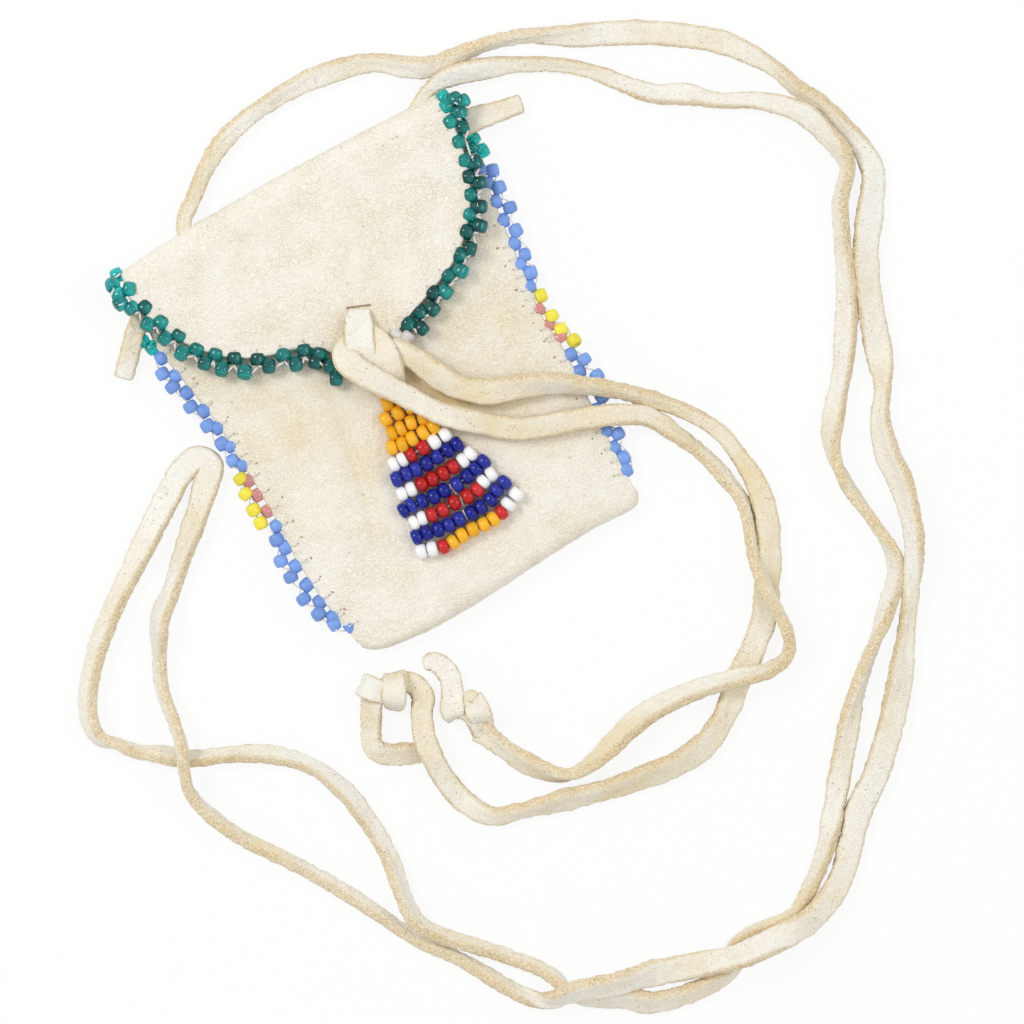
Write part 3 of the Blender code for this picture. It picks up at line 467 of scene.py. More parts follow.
TAIL_1 = (
    (392, 345, 20), (404, 353, 23), (421, 363, 26), (431, 371, 27), (444, 380, 26.5), (458, 387, 25), (484, 392, 25), (517, 388, 25),
    (549, 384, 23), (582, 386, 21), (618, 391, 18), (652, 400, 18), (688, 413, 16), (720, 433, 17), (741, 459, 17.6),
    (756.3, 484.3, 21.6), (766, 516, 25), (768.5, 548, 25.8), (767, 580, 27.6), (764, 616, 26), (752.1, 650.5, 24.8),
    (735.1, 685.8, 27.1), (729.8, 703.9, 24.8), (706, 743, 26), (676, 764, 26), (640, 778, 28.2),
    (606.1, 789.5, 22.8), (564.2, 799.7, 25.2), (524, 810, 18.4), (493, 816, 20.4), (468, 804, 22.4),
    (448.6, 784.5, 21.8), (434, 760, 22.4), (425, 737.8, 23.5), (422, 713, 22), (423, 696, 24), (415, 685, 24),
    (404, 682, 22), (397, 684, 20),
)
TAIL_2 = (
    (360, 338, 20), (350, 345, 22), (345.5, 356, 25), (354, 367.5, 28), (364, 374.5, 27.5), (377, 382, 26), (399, 393, 23), (418, 403, 22),
    (441, 414, 22), (474, 422, 23), (517, 429, 23), (545, 426, 23), (583, 419, 22), (618, 415, 21), (648, 417, 20),
    (674, 433, 20), (703, 455, 16), (724.4, 477.5, 14.6), (742.4, 501.8, 16.8), (750, 530.2, 16.5), (755, 558, 17),
    (765, 588, 17), (778.9, 614.5, 18.5), (789.1, 640.7, 19.6), (785.6, 657.8, 15.8), (766.4, 670.4, 18.2),
    (732.4, 678.5, 20.3), (697.6, 688.9, 20.4), (663.8, 703.6, 21.6), (639.3, 718.5, 24), (614.9, 740.9, 22.4),
    (594.8, 759.9, 23.8), (572.7, 773.5, 21.2), (554.8, 773.7, 22.2), (524.5, 761.9, 22.6), (500.8, 746, 16.8),
    (481, 730, 22),
)


def seen_in_mm(points):
    """Photo places with a width in pixels, as rows (x, y, width) in mm."""
    return np.array([(*at(x, y), 0.17 * width) for x, y, width in points])


def px_keys(keys):
    return [(*at(x, y), value) for x, y, value in keys]


def matched(route, path):
    """Third value of a route at each point of a path that follows it, searched in order."""
    route = curve_through(route, 1.0)
    s = arc_length(route[:, :2])
    out, i = [], 0
    for p in path:
        low = i
        high = np.searchsorted(s, s[i] + 14.0) + 1
        gap = np.hypot(route[low:high, 0] - p[0], route[low:high, 1] - p[1])
        i = low + int(np.argmin(gap))
        out.append(route[i, 2])
    return np.array(out)


def lying(roll, width=LACE_WIDTH, thick=LACE_THICK):
    """Height of a lace's middle above what it lies on, for its roll."""
    a = np.radians(roll)
    r = CORNER * thick
    return np.abs(np.sin(a)) * (width / 2 - r) + np.abs(np.cos(a)) * (thick / 2 - r) + r


def lace_piece(name, plan, route, rolls, rise, floor_z, warmth, step=0.5):
    """A lace along plan rows (x, y, width as seen from above); the route gives its height."""
    path = curve_through(plan, step)
    roll = smooth(keyed(path, rolls), 13)
    seen = smooth(path[:, 2], 9)
    c, s = np.abs(np.cos(np.radians(roll))), np.abs(np.sin(np.radians(roll)))
    r = CORNER * LACE_THICK
    width = np.clip(2 * r + (seen - 2 * r - (LACE_THICK - 2 * r) * s) / np.maximum(c, 0.40), 2.5, 4.7)
    width = smooth(width, 15) * (1 + 0.07 * smooth(rng.normal(0, 1, len(path)), 9))
    lift = smooth(matched(route, path), 9)
    rest = lying(roll, width)
    z = np.maximum((lift - floor_z) * rise + rest, rest)
    full = np.column_stack((path[:, :2], z))
    full[:, 2] = smooth(full[:, 2], 7)
    tan_and_shade = np.clip(warmth + 0.9 * smooth(rng.normal(0, 1, len(path)), 45), 0, 1)
    piece = strip(name, full, roll, width, LACE_THICK, LACE, tan_and_shade=tan_and_shade)
    return piece, full


neck_plan = np.vstack((
    [(-39.2, 22.9, 3.5), (-35.9, 26.3, 3.5), (-32.8, 29.3, 3.5), (-27.5, 32.2, 3.5), (-23.4, 32.4, 3.5),
     (-20.2, 33.4, 3.0), (-18.8, 35.4, 2.4)],
    seen_in_mm(STRAND_A), seen_in_mm(STRAND_B)[1:],
    [(26.2, 37.6, 3.0), (25.8, 35.9, 3.5), (26.8, 33.5, 3.8), (29.7, 32.2, 4.2), (33.7, 31.7, 4.2), (38.0, 30.9, 3.7),
     (42.3, 30.1, 3.1)]))
neck_rolls = [(-38.8, 23.7, 8), (-27.5, 32.4, 0), (-18.2, 36.0, 10)] + px_keys((
    (202, 167, 28), (274, 88, 30), (376, 64, 26), (414, 66, 48), (464, 51, 64), (510, 38, 60), (560, 36, 22),
    (607, 32, 4), (719, 43, 2), (770, 66, 24), (799, 88, 62), (824, 108, 45), (860, 142, 20), (876, 172, -12),
    (867, 243, -24), (875, 323, -22), (881, 361, 10), (884, 430, 40), (906, 490, 52), (914, 548, 48),
    (908, 605, -36), (898, 690, -30), (884, 752, -8), (858, 820, 0), (838, 885, -14), (800, 925, -30),
    (771, 943, 30), (738, 956, 40), (695, 963, 10), (649, 970, -25), (612, 986, -45), (560, 1000, -62),
    (519, 994, 70), (456, 956, 72), (381, 916, 64), (290, 863, 62), (209, 815, 66), (187, 775, 100),
    (172, 717, 112), (160, 653, 112), (168, 600, 124), (185, 557, 140), (200, 510, 158), (207, 475, 172),
    (190, 460, 180), (165, 497, 196), (138, 548, 212), (109, 609, 232), (88, 690, 238), (100, 735, 250),
    (133, 748, 275), (189, 761, 308), (267, 755, 310), (342, 794, 312), (388, 861, 310), (415, 922, 300),
    (473, 943, 298), (546, 973, 292), (600, 993, 240), (649, 1003, 226), (712, 983, 232), (734, 955, 268),
    (755, 930, 280), (808, 888, 302), (830, 830, 330), (838, 785, 358), (847, 739, 385), (858, 680, 420),
    (872, 645, 445), (888, 602, 480), (900, 566, 486), (880, 524, 450), (848, 484, 432), (831, 440, 470),
    (834, 395, 508), (846, 310, 505), (842, 250, 480), (840, 202, 470), (846, 165, 460), (827, 134, 520),
    (783, 104, 538), (719, 96, 560), (655, 96, 566), (610, 78, 540), (559, 65, 516), (490, 64, 514),
    (425, 96, 530))) + [(25.8, 35.9, 540), (33.7, 31.9, 540), (42.1, 30.0, 540)]
neck_route = np.vstack((NECK_LEFT, NECK_RIGHT[1:]))
neck, neck_path = lace_piece("neck_lace", neck_plan, neck_route, neck_rolls, 3.7, 0.0, 0.24)
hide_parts("neck_cord")

tail_1_rolls = px_keys((
    (400, 350, 24), (469, 388, 20), (520, 388, 38), (583, 384, 58), (630, 392, 52), (675, 407, 24), (720, 433, 6),
    (772, 530, -14), (764, 616, -8), (733, 685, -16), (690, 746, -38), (606, 789, -50), (524, 811, -48), (482, 806, -20),
    (452, 788, 8), (434, 760, 4), (423, 720, 0), (404, 677, 10)))
tail_1, tail_1_path = lace_piece("tail_lace_upper", seen_in_mm(TAIL_1), TAIL_UPPER, tail_1_rolls, 1.0, 1.3, 0.60)
tail_2_rolls = px_keys((
    (356, 338, 0), (342, 350, 0), (370, 372, -8), (400, 391, -6), (469, 420, 12), (514, 431, 10),
    (583, 416, 0), (648, 417, -20), (690, 440, -50), (735, 488, -62), (753, 545, -68), (770, 600, -76),
    (788, 636, -82), (785, 660, -106), (750, 673, -126), (732, 677, -130), (664, 702, -132), (610, 745, -118), (580, 773, -92),
    (552, 772, -66), (520, 760, -50), (500, 746, -46), (481, 730, -44)))
tail_2_route = ((-1.3, 9.5, 7.2), (-3.5, 10.2, 8.0), (-5.0, 8.3, 10.0), (-4.5, 6.0, 11.0), (-1.5, 1.8, 11.0)) + TAIL_LOWER
tail_2, tail_2_path = lace_piece("tail_lace_lower", seen_in_mm(TAIL_2), tail_2_route, tail_2_rolls, 1.0, 1.3, 0.50)
for piece, node in ((tail_1, "tie_tail_upper"), (tail_2, "tie_tail_lower")):
    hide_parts(node)

# Pouch: the folded strip of deerskin

LEATHER = 1.2
TOP_Y, BOTTOM_Y, MOUTH_Y = 38.0, -38.0, 24.4
FOLD_RADIUS = 2.6
FOLD_CENTRE = TOP_Y - LEATHER / 2 - FOLD_RADIUS
FLAP_LENGTH = 32.6


LEFT_SIDE = ((-40.0, 25.4), (-38.1, 26.0), (-34.7, 26.6), (-26.9, 28.0), (-18.7, 28.5), (-11.3, 28.1), (-3.4, 28.2),
             (7.8, 28.7), (16.0, 29.9), (24.1, 31.3), (30.0, 31.0), (39.0, 30.5))
RIGHT_SIDE = ((-40.0, 26.3), (-37.8, 26.6), (-33.0, 26.6), (-24.7, 27.0), (-14.0, 27.6), (-8.3, 27.7), (-4.5, 27.2), (-0.5, 27.4), (3.5, 28.0),
              (11.4, 28.9), (19.3, 29.9), (24.6, 31.2), (30.0, 31.0), (39.0, 30.5))
FLAP_LEFT_SIDE = ((5.4, 0.3), (6.8, 2.4), (9.0, 5.2), (11.5, 8.0), (12.9, 11.2), (13.6, 14.4), (15.0, 17.8),
                  (16.5, 20.3), (17.9, 22.1), (21.1, 25.1), (23.8, 26.8), (26.9, 28.3), (29.8, 29.6), (33.5, 30.5), (39.0, 30.5))
FLAP_RIGHT_SIDE = ((5.4, 0.5), (6.4, 3.2), (7.3, 5.2), (8.1, 7.1), (9.0, 9.9), (10.3, 13.4), (11.8, 17.0), (13.8, 20.1),
                   (16.4, 22.7), (18.5, 24.5), (21.3, 26.2), (24.0, 27.4), (26.7, 28.1), (30.0, 28.8), (33.6, 29.6),
                   (39.0, 30.5))
BOTTOM_EDGE = ((-28, -35.2), (-26.4, -36.8), (-25.5, -37.8), (-24.0, -38.8), (-21.0, -39.5), (-15.0, -40.1), (-8.0, -40.2),
               (0.0, -39.8), (6.0, -39.3), (12.0, -39.0), (18.0, -38.8), (24.0, -39.2), (25.5, -39.1),
               (26.3, -38.3), (27.0, -36.8))


def either(x, y, left, right):
    """The outline's distance from the middle line at y, on the side that x is on."""
    left, right = np.array(left, float), np.array(right, float)
    return np.where(np.asarray(x) < 0, np.interp(y, left[:, 0], left[:, 1]), np.interp(y, right[:, 0], right[:, 1]))


def panel_half(y, x=1.0):
    return either(x, y, LEFT_SIDE, RIGHT_SIDE)


def flap_half(y, x=1.0):
    return either(x, y, FLAP_LEFT_SIDE, FLAP_RIGHT_SIDE) + np.where(np.asarray(x) < 0, 0.6, 0.9)


def front_mid(x, y):
    along = np.clip((y - BOTTOM_Y) / (MOUTH_Y - BOTTOM_Y), 0, 1)
    pocket = 2.2 + 0.6 * np.sin(np.pi * along)
    across = np.clip(np.abs(x) / panel_half(np.minimum(y, MOUTH_Y), x), 0, 1)
    return 2.1 + (pocket - 0.3) * (1 - across ** 3.5)


def flap_mid(x, y):
    settled = front_mid(x, np.minimum(y, MOUTH_Y)) + LEATHER + 1.0
    share = np.clip((FOLD_CENTRE - y) / (FOLD_CENTRE - MOUTH_Y + 4.0), 0, 1)
    ease = share * share * (3 - 2 * share)
    return 5.8 + (settled - 5.8) * ease


def ridge(x, y, a, b, width, height):
    """A soft line from a to b: raised where height is positive, sunk where it is negative."""
    a, b = np.array(a, float), np.array(b, float)
    d = b - a
    t = np.clip(((x - a[0]) * d[0] + (y - a[1]) * d[1]) / (d @ d), 0, 1)
    gap = np.hypot(x - a[0] - t * d[0], y - a[1] - t * d[1])
    fade = np.sin(np.pi * np.clip(0.08 + 0.84 * t, 0, 1))
    return height * fade * np.exp(-(gap / width) ** 2)


def waves(x, y, seed, size):
    spin = np.random.default_rng(seed)
    total = np.zeros_like(x)
    for _ in range(7):
        angle, phase = spin.uniform(0, 2 * np.pi, 2)
        k = 2 * np.pi / (size * spin.uniform(0.7, 1.6))
        total += np.sin(k * (x * np.cos(angle) + y * np.sin(angle)) + phase)
    return total / 7 ** 0.5


def front_relief(x, y):
    z = 0.14 * waves(x, y, 3, 17.0)
    z += ridge(x, y, (-9.5, 3.0), (-14.2, -20.0), 1.1, -0.8) + ridge(x, y, (-7.6, 1.0), (-11.6, -17.0), 1.6, 0.45)
    z += ridge(x, y, (-13.0, 1.0), (-17.0, -16.0), 2.2, 0.45)
    z += ridge(x, y, (14.0, 6.0), (24.0, -6.0), 4.0, -0.3)
    edge = np.clip(np.abs(x) / panel_half(np.minimum(y, MOUTH_Y), x), 0, 1)
    return z * (1 - edge ** 6)


def flap_relief(x, y):
    z = 0.10 * waves(x, y, 5, 15.0)
    z += ridge(x, y, (-5.5, 10.0), (-15.0, 19.0), 1.6, -0.45) + ridge(x, y, (-7.5, 9.0), (-20.0, 15.5), 1.6, 0.35)
    z += ridge(x, y, (5.0, 10.5), (14.0, 20.0), 2.0, -0.35) + ridge(x, y, (1.5, 14.5), (0.0, 28.0), 3.0, 0.25)
    z += 0.4 * np.exp(-(((x - 0.5) / 7.0) ** 2 + ((y - 9.0) / 5.0) ** 2))
    return z


def gauss(x, y, cx, cy, rx, ry):
    return np.exp(-(((x - cx) / rx) ** 2 + ((y - cy) / ry) ** 2))


def front_tan_and_shade(x, y):
    """How far the front panel's colour leans to tan: its own tan tone, painted shade under the flap's edges and along
    the crease, and, above 1, painted shade between the two tails.
    """
    w = 0.30 + 0.34 * gauss(x, y, -12, 4, 12, 9) + 0.30 * gauss(x, y, 10, 2, 12, 8)
    w += ridge(x, y, (-9.0, 4.0), (-14.5, -21.0), 2.4, 0.38) + 0.12 * waves(x, y, 11, 14.0)
    w = np.clip(w - 0.24 * np.clip((-y - 12) / 20, 0, 1), 0, 1)
    shade = ridge(x, y, (2.0, 1.5), (8.5, -9.5), 1.7, 1.9) + ridge(x, y, (5.5, -7.5), (20.0, -15.0), 1.7, 1.4)
    return np.clip(w + shade, 0, 2)


def flap_tan_and_shade(x, y):
    # Painted shade around the tie and in the sunk crease, over the flap's own tan tone.
    w = 0.06 + 0.42 * gauss(x, y, 1, 10, 8, 6) + 0.12 * gauss(x, y, 6, 22, 10, 12)
    return np.clip(w + 0.06 * waves(x, y, 12, 16.0) + ridge(x, y, (-5.5, 10.0), (-15.0, 19.0), 1.6, 0.25), 0, 1)


def pouch_rows():
    rows = [("front", t) for t in np.linspace(0, 1, 110)]
    rows += [("bottom", t) for t in np.linspace(0, 1, 14)[1:-1]]
    rows += [("back", t) for t in np.linspace(0, 1, 70)]
    rows += [("top", t) for t in np.linspace(0, 1, 18)[1:-1]]
    rows += [("flap", t) for t in np.linspace(0, 1, 110)]
    return rows


def pouch_row(kind, t, u):
    """Middle of the skin along one row of the folded strip, and its tan value, which holds painted shade too; u runs
    from side to side.
    """
    if kind in ("front", "bottom", "back"):
        x0 = u * panel_half(BOTTOM_Y, u)
        top = front_mid(x0, BOTTOM_Y)
        radius = (top - LEATHER / 2) / 2
        edge = np.array(BOTTOM_EDGE, float)
        centre = np.interp(x0, edge[:, 0], edge[:, 1]) + LEATHER / 2 + radius
        if kind == "front":
            y = MOUTH_Y + (centre - MOUTH_Y) * t
            x = u * panel_half(y, u)
            return np.stack((x, y, front_mid(x, y) + front_relief(x, y), front_tan_and_shade(x, y)), 1)
        if kind == "bottom":
            angle = np.pi * t
            return np.stack((x0, centre - radius * np.sin(angle), top - radius * (1 - np.cos(angle)),
                             np.full_like(u, 0.1)), 1)
        y = centre + (FOLD_CENTRE - centre) * t
        return np.stack((u * panel_half(y, u), y, np.full_like(u, LEATHER / 2), np.full_like(u, 0.2)), 1)
    if kind == "top":
        angle = np.pi * t
        crown = np.interp(u, (-1.0, -0.85, -0.5, 0.0, 0.35, 0.8, 1.0), (-0.5, 0.0, 0.5, 0.55, 0.35, -0.2, -0.5))
        y = FOLD_CENTRE + (FOLD_RADIUS + 1.0 + crown) * np.sin(angle)
        z = LEATHER / 2 + FOLD_RADIUS * (1 - np.cos(angle))
        return np.stack((u * 30.5, y, np.full_like(u, z), np.full_like(u, 0.05)), 1)
    y = FOLD_CENTRE + (TOP_Y - FLAP_LENGTH - FOLD_CENTRE) * math.sin(math.pi / 2 * t)
    x = u * flap_half(y, u)
    ease = min(1.0, 3 * t)
    return np.stack((x, np.full_like(u, y), flap_mid(x, y) + ease * flap_relief(x, y), flap_tan_and_shade(x, y)), 1)


def skin(name, mid, tan_and_shade, thick, material, rough=0.05):
    """Closed body with round edges about a middle surface of rows and columns."""
    caps = [math.radians(a) for a in (35, 65, 82)]
    first, last = unit(mid[0] - mid[1]), unit(mid[-1] - mid[-2])
    rows = [mid[0] + first * thick / 2 * math.sin(a) for a in reversed(caps)] + list(mid)
    rows += [mid[-1] + last * thick / 2 * math.sin(a) for a in caps]
    half = [thick / 2 * math.cos(a) for a in reversed(caps)] + [thick / 2] * len(mid)
    half += [thick / 2 * math.cos(a) for a in caps]
    mid = np.array(rows)
    half = np.array(half)[:, None, None]
    n, m = mid.shape[:2]
    down = np.gradient(mid, axis=0)
    over = np.gradient(mid, axis=1)
    normal = unit(np.cross(over, down))
    normal[:3], normal[-3:] = normal[3], normal[-4]
    fuzz = rng.normal(0, rough, (n, m, 1))
    fuzz = (fuzz + np.roll(fuzz, 1, 0) + np.roll(fuzz, 1, 1)) * 0.8
    top = mid + normal * (half + fuzz)
    fuzz = rng.normal(0, rough, (n, m, 1))
    bottom = mid - normal * (half + fuzz)
    arcs = [math.radians(a) for a in (60, 30, 0, -30, -60)]
    right = [mid[:, -1] + unit(over[:, -1]) * half[:, 0] * math.cos(a) + normal[:, -1] * half[:, 0] * math.sin(a)
             for a in arcs]
    left = [mid[:, 0] - unit(over[:, 0]) * half[:, 0] * math.cos(a) + normal[:, 0] * half[:, 0] * math.sin(a)
            for a in reversed(arcs)]
    ring = np.concatenate((top, np.stack(right, 1), bottom[:, ::-1], np.stack(left, 1)), axis=1)
    count = ring.shape[1]
    k = len(arcs)
    tan_and_shade = np.vstack((tan_and_shade[:1].repeat(3, 0), tan_and_shade, tan_and_shade[-1:].repeat(3, 0)))
    tan_and_shade = np.concatenate((tan_and_shade, tan_and_shade[:, -1:].repeat(k, 1), tan_and_shade[:, ::-1] * 0.5 + 0.1, tan_and_shade[:, :1].repeat(k, 1)), axis=1)
    faces = []
    for i in range(n - 1):
        for j in range(count):
            j2 = (j + 1) % count
            faces.append((i * count + j, i * count + j2, (i + 1) * count + j2, (i + 1) * count + j))
    for row, turn in ((0, False), (n - 1, True)):
        base = row * count
        ends = []
        for c in range(m - 1):
            ends.append((base + c, base + c + 1, base + 2 * m + k - 2 - c, base + 2 * m + k - 1 - c))
        ends.append(tuple(base + m - 1 + j for j in range(k + 2)))
        ends.append(tuple(base + (2 * m + k - 1 + j) % count for j in range(k + 2)))
        faces += [f if turn else tuple(reversed(f)) for f in ends]
    faces = [tuple(reversed(f)) for f in faces]
    return make(name, ring.reshape(-1, 3), faces, material, {"tan_and_shade": tan_and_shade.reshape(-1)})


across = np.linspace(-1, 1, 101)
across = np.sign(across) * np.abs(across) ** 0.92
pouch_mid = np.array([pouch_row(kind, t, across) for kind, t in pouch_rows()])
pouch_mid, pouch_tan_and_shade = pouch_mid[:, :, :3], pouch_mid[:, :, 3]
pouch = skin("pouch", pouch_mid, pouch_tan_and_shade, LEATHER, DEERSKIN)
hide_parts("pouch_leather")


def skin_top(x, y):
    """Top of the front panel's skin."""
    x, y = np.float64(x), np.float64(y)
    return float(front_mid(x, y) + front_relief(x, y)) + LEATHER / 2


def flap_top(x, y):
    x, y = np.float64(x), np.float64(y)
    return float(flap_mid(x, y) + flap_relief(x, y)) + LEATHER / 2


# Beads


def bead(centre, axis, length, diameter, spin=0.0, segments=18, shoulder=0.75):
    """A bead with a hole, round about its axis; a low shoulder number makes it more of a barrel."""
    r, h, hole = diameter / 2, length / 2, 0.40
    profile = [(hole, 0.5 * h), (hole + 0.05, h * 0.90), (hole + 0.2, h)]
    for a in (62, 45, 30, 15):
        profile.append((hole + 0.2 + (r - hole - 0.2) * math.cos(math.radians(a)) ** shoulder,
                        h * math.sin(math.radians(a)) ** (shoulder + 0.05)))
    profile.append((r, 0.0))
    profile += [(a, -b) for a, b in reversed(profile[:-1])]
    z = unit(np.asarray(axis, float))
    helper = np.array((0.0, 0.0, 1.0)) if abs(z[2]) < 0.9 else np.array((1.0, 0.0, 0.0))
    x = unit(np.cross(helper, z))
    y = np.cross(z, x)
    angle = 2 * np.pi * np.arange(segments) / segments + spin
    verts = []
    for radius, height in profile:
        for a in angle:
            verts.append(centre + x * radius * math.cos(a) + y * radius * math.sin(a) + z * height)
    m = len(profile)
    faces = []
    for i in range(m):
        i2 = (i + 1) % m
        for j in range(segments):
            k = (j + 1) % segments
            faces.append((i * segments + j, i2 * segments + j, i2 * segments + k, i * segments + k))
    return verts, faces


AWAY = unit(np.array((0.35, -0.55, 0.50)))


def lit(verts, centre, axis, length, tone):
    """Painted light over a clear bead: lighter on the side away from the key lamp, painted shade at the ends."""
    d = np.array(verts) - centre
    end = np.clip(np.abs(d @ unit(axis)) / (length / 2), 0, 1)
    return np.clip(tone + 0.5 * np.clip(unit(d) @ AWAY, 0, 1) ** 3 - 0.45 * end ** 2, 0, 1)


def edge_line(side, kind):
    sign = -1.0 if side == "left" else 1.0
    if kind == "side":
        ys = np.linspace(MOUTH_Y, BOTTOM_Y - 0.5, 80)
        return np.stack((sign * panel_half(ys, sign), ys, np.full_like(ys, 1.75)), 1)
    if kind == "back":
        ys = np.linspace(TOP_Y, MOUTH_Y, 20)
        return np.stack((sign * panel_half(ys, sign), ys, np.full_like(ys, 1.35)), 1)
    column = 0 if side == "left" else -1
    fold = [pouch_row("top", t, across)[column, :3] for t in np.linspace(0.35, 0.95, 10)]
    flap = [pouch_row("flap", t, across)[column, :3] for t in np.linspace(0, 1, 160)]
    return resample(np.array(fold + flap), 0.3)


threads = Pile()
stitches_and_slit_shade = Pile()


def place(side, line, spots):
    """Sets photo spots beside an edge: (place, outward, along, offset, nearest point of the edge)."""
    tangent = unit(np.gradient(line, axis=0))
    for k in range(3):
        tangent[:, k] = smooth(tangent[:, k], 9)
    tangent = unit(tangent)
    sign = -1 if side == "left" else 1
    found = []
    for spot in spots:
        p = at(*spot)
        i = int(np.argmin(np.hypot(line[:, 0] - p[0], line[:, 1] - p[1])))
        along = tangent[i]
        out = unit(np.array((-along[1], along[0], 0.0)) * sign)
        offset = float((p - line[i, :2]) @ out[:2])
        found.append((np.array((*p, line[i, 2])), out, along, offset, line[i]))
    return found


def edging(name, node, colour, side, kind, spots, split=1.9, length=2.1, diameter=2.5, rows=None, backlit=0):
    """A run of edging beads: those near the edge stand on it, those farther out lie along it; teal ones carry painted
    light and shade, and the first few are painted lighter, as light shining up through them from the floor.
    """
    pile = Pile()
    chain = []
    for number, (centre, out, along, offset, root) in enumerate(place(side, edge_line(side, kind), spots)):
        outer = offset > split if rows is None else rows[number] == "o"
        axis = unit((along if outer else out) + rng.normal(0, 0.10, 3))
        size = diameter * rng.uniform(0.95, 1.05)
        centre = centre + np.array((0.0, 0.0, (0.25 if outer else 0.0) + rng.normal(0, 0.06)))
        long = length * rng.uniform(0.93, 1.06)
        verts, faces = bead(centre, axis, long, size, rng.uniform(0, 1))
        tone = rng.uniform(0, 1)
        if colour == "teal":
            tone = lit(verts, centre, axis, long, (0.75 if number < backlit else 0.10) + 0.70 * tone)
        pile.add(verts, faces, tone)
        chain.append((outer, centre, out, axis))
        if not outer:
            top = root[2] + (LEATHER / 2 + 0.05 if kind == "flap" else 1.5)
            a = (*(root - out * 0.15)[:2], top - 0.2)
            b = (*(root - out * 0.9)[:2], top + 0.05)
            c = (*(root - out * 1.25)[:2], top - 0.3)
            threads.add(*tube(curve_through([centre + (0.0, 0.0, 0.1), a, b, c], 0.3), 0.09, 5))
            stitches_and_slit_shade.add(*tube([b, ((b[0] + c[0]) / 2, (b[1] + c[1]) / 2, top - 0.05)], 0.10, 5))
    for (outer_a, a, out_a, axis_a), (outer_b, b, out_b, axis_b) in zip(chain, chain[1:]):
        if np.linalg.norm(b - a) > 3.4:
            continue
        way = unit(b - a)
        lift = np.array((0.0, 0.0, 1.30 if outer_a != outer_b and kind == "flap" else 0.7))
        ends = []
        for outer, centre, out, axis, sign in ((outer_a, a, out_a, axis_a, 1), (outer_b, b, out_b, axis_b, -1)):
            if outer:
                ends.append(centre + axis * (1.15 * sign if axis @ way > 0 else -1.15 * sign) + lift * 0.3)
            else:
                ends.append(centre + out * 1.0 + lift * 0.3)
        middle = (ends[0] + ends[1]) / 2 + (out_a + out_b) * 0.1 + lift * 0.7
        threads.add(*tube(curve_through([(a + ends[0]) / 2, ends[0], middle, ends[1], (b + ends[1]) / 2], 0.3), 0.17 if kind == "flap" else 0.11, 6))
    piece = pile.made(name, GLASS[colour])
    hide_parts(node)
    return piece


FLAP_LEFT = ((118, 276), (114, 286), (120, 296), (131, 290), (122, 304), (133, 309), (146, 308), (149, 325), (162, 323),
             (166, 339), (180, 336), (183, 354), (198, 350), (206, 364), (217, 355), (223, 370), (236, 359), (246, 373),
             (259, 360), (270, 367), (284, 356), (297, 365), (305, 351), (317, 363), (321, 355), (331, 367), (337, 379))
FLAP_LEFT_ROWS = "ioiiioi" + "oi" * 8 + "oioo"
FLAP_RIGHT = ((444, 99), (447, 108), (455, 101), (463, 103), (460, 114), (451, 123), (463, 128), (459, 143), (465, 162),
              (476, 164), (469, 178), (480, 184), (471, 196), (480, 208), (470, 216), (480, 227), (467, 233), (470, 250),
              (460, 256), (461, 272), (449, 277), (446, 293), (434, 294), (433, 310), (421, 313), (409, 325), (422, 329))
edging("flap_edging_left", "flap_beads_left_teal", "teal", "left", "flap", FLAP_LEFT, diameter=2.7, length=2.3,
       rows=FLAP_LEFT_ROWS, backlit=4)
edging("flap_edging_right", "flap_beads_right_teal", "teal", "right", "flap", FLAP_RIGHT, diameter=2.7, length=2.3, backlit=2)
edging("flap_edging_tip", "flap_beads_tip_white", "pearl", "right", "flap", ((396, 336), (408, 338)), diameter=2.3)
edging("back_edging_right", "back_beads_right_teal", "teal", "right", "back", ((474, 138), (473, 149), (483, 151)), backlit=3)
edging("back_edging_left", "back_beads_left_teal", "teal", "left", "back", ((143, 342), (152, 348)), backlit=2)
LEFT_UPPER = ((162, 358), (163, 374), (176, 376), (173, 387), (187, 393), (191, 407), (204, 411), (208, 426), (218, 428),
              (222, 444), (231, 446), (233, 461), (243, 465))
LEFT_LOWER = ((277, 526), (277, 540), (285, 548), (281, 561), (296, 566), (291, 577), (307, 585), (304, 599), (320, 602),
              (319, 614), (333, 617), (334, 624), (351, 627))
RIGHT_UPPER = ((481, 171), (493, 171), (488, 184), (499, 188), (496, 202), (510, 208), (503, 221), (516, 231), (514, 244),
               (525, 255), (520, 265), (531, 273), (530, 287))
RIGHT_LOWER = ((571, 355), (584, 360), (579, 372), (597, 376), (587, 388), (602, 397), (596, 410), (611, 415), (606, 431),
               (618, 434), (614, 448), (624, 458), (626, 470))
edging("left_edging_upper", "side_beads_left_blue_upper", "sky_blue", "left", "side", LEFT_UPPER)
edging("left_edging_lower", "side_beads_left_blue_lower", "sky_blue", "left", "side", LEFT_LOWER)
edging("right_edging_upper", "side_beads_right_blue_upper", "sky_blue", "right", "side", RIGHT_UPPER)
edging("right_edging_lower", "side_beads_right_blue_lower", "sky_blue", "right", "side", RIGHT_LOWER)
edging("left_edging_yellow", "side_beads_left_yellow", "yellow", "left", "side",
       ((241, 479), (246, 494), (254, 510), (261, 523)), diameter=2.4)
edging("left_edging_rose", "side_beads_left_rose", "rose", "left", "side", ((249, 481), (258, 495), (268, 511)),
       split=9.0, diameter=2.3)
edging("right_edging_yellow", "side_beads_right_yellow", "yellow", "right", "side",
       ((541, 296), (552, 316), (561, 330), (574, 341)), diameter=2.4)
edging("right_edging_rose", "side_beads_right_rose", "rose", "right", "side", ((539, 310), (548, 326), (560, 337)),
       split=9.0, diameter=2.3)

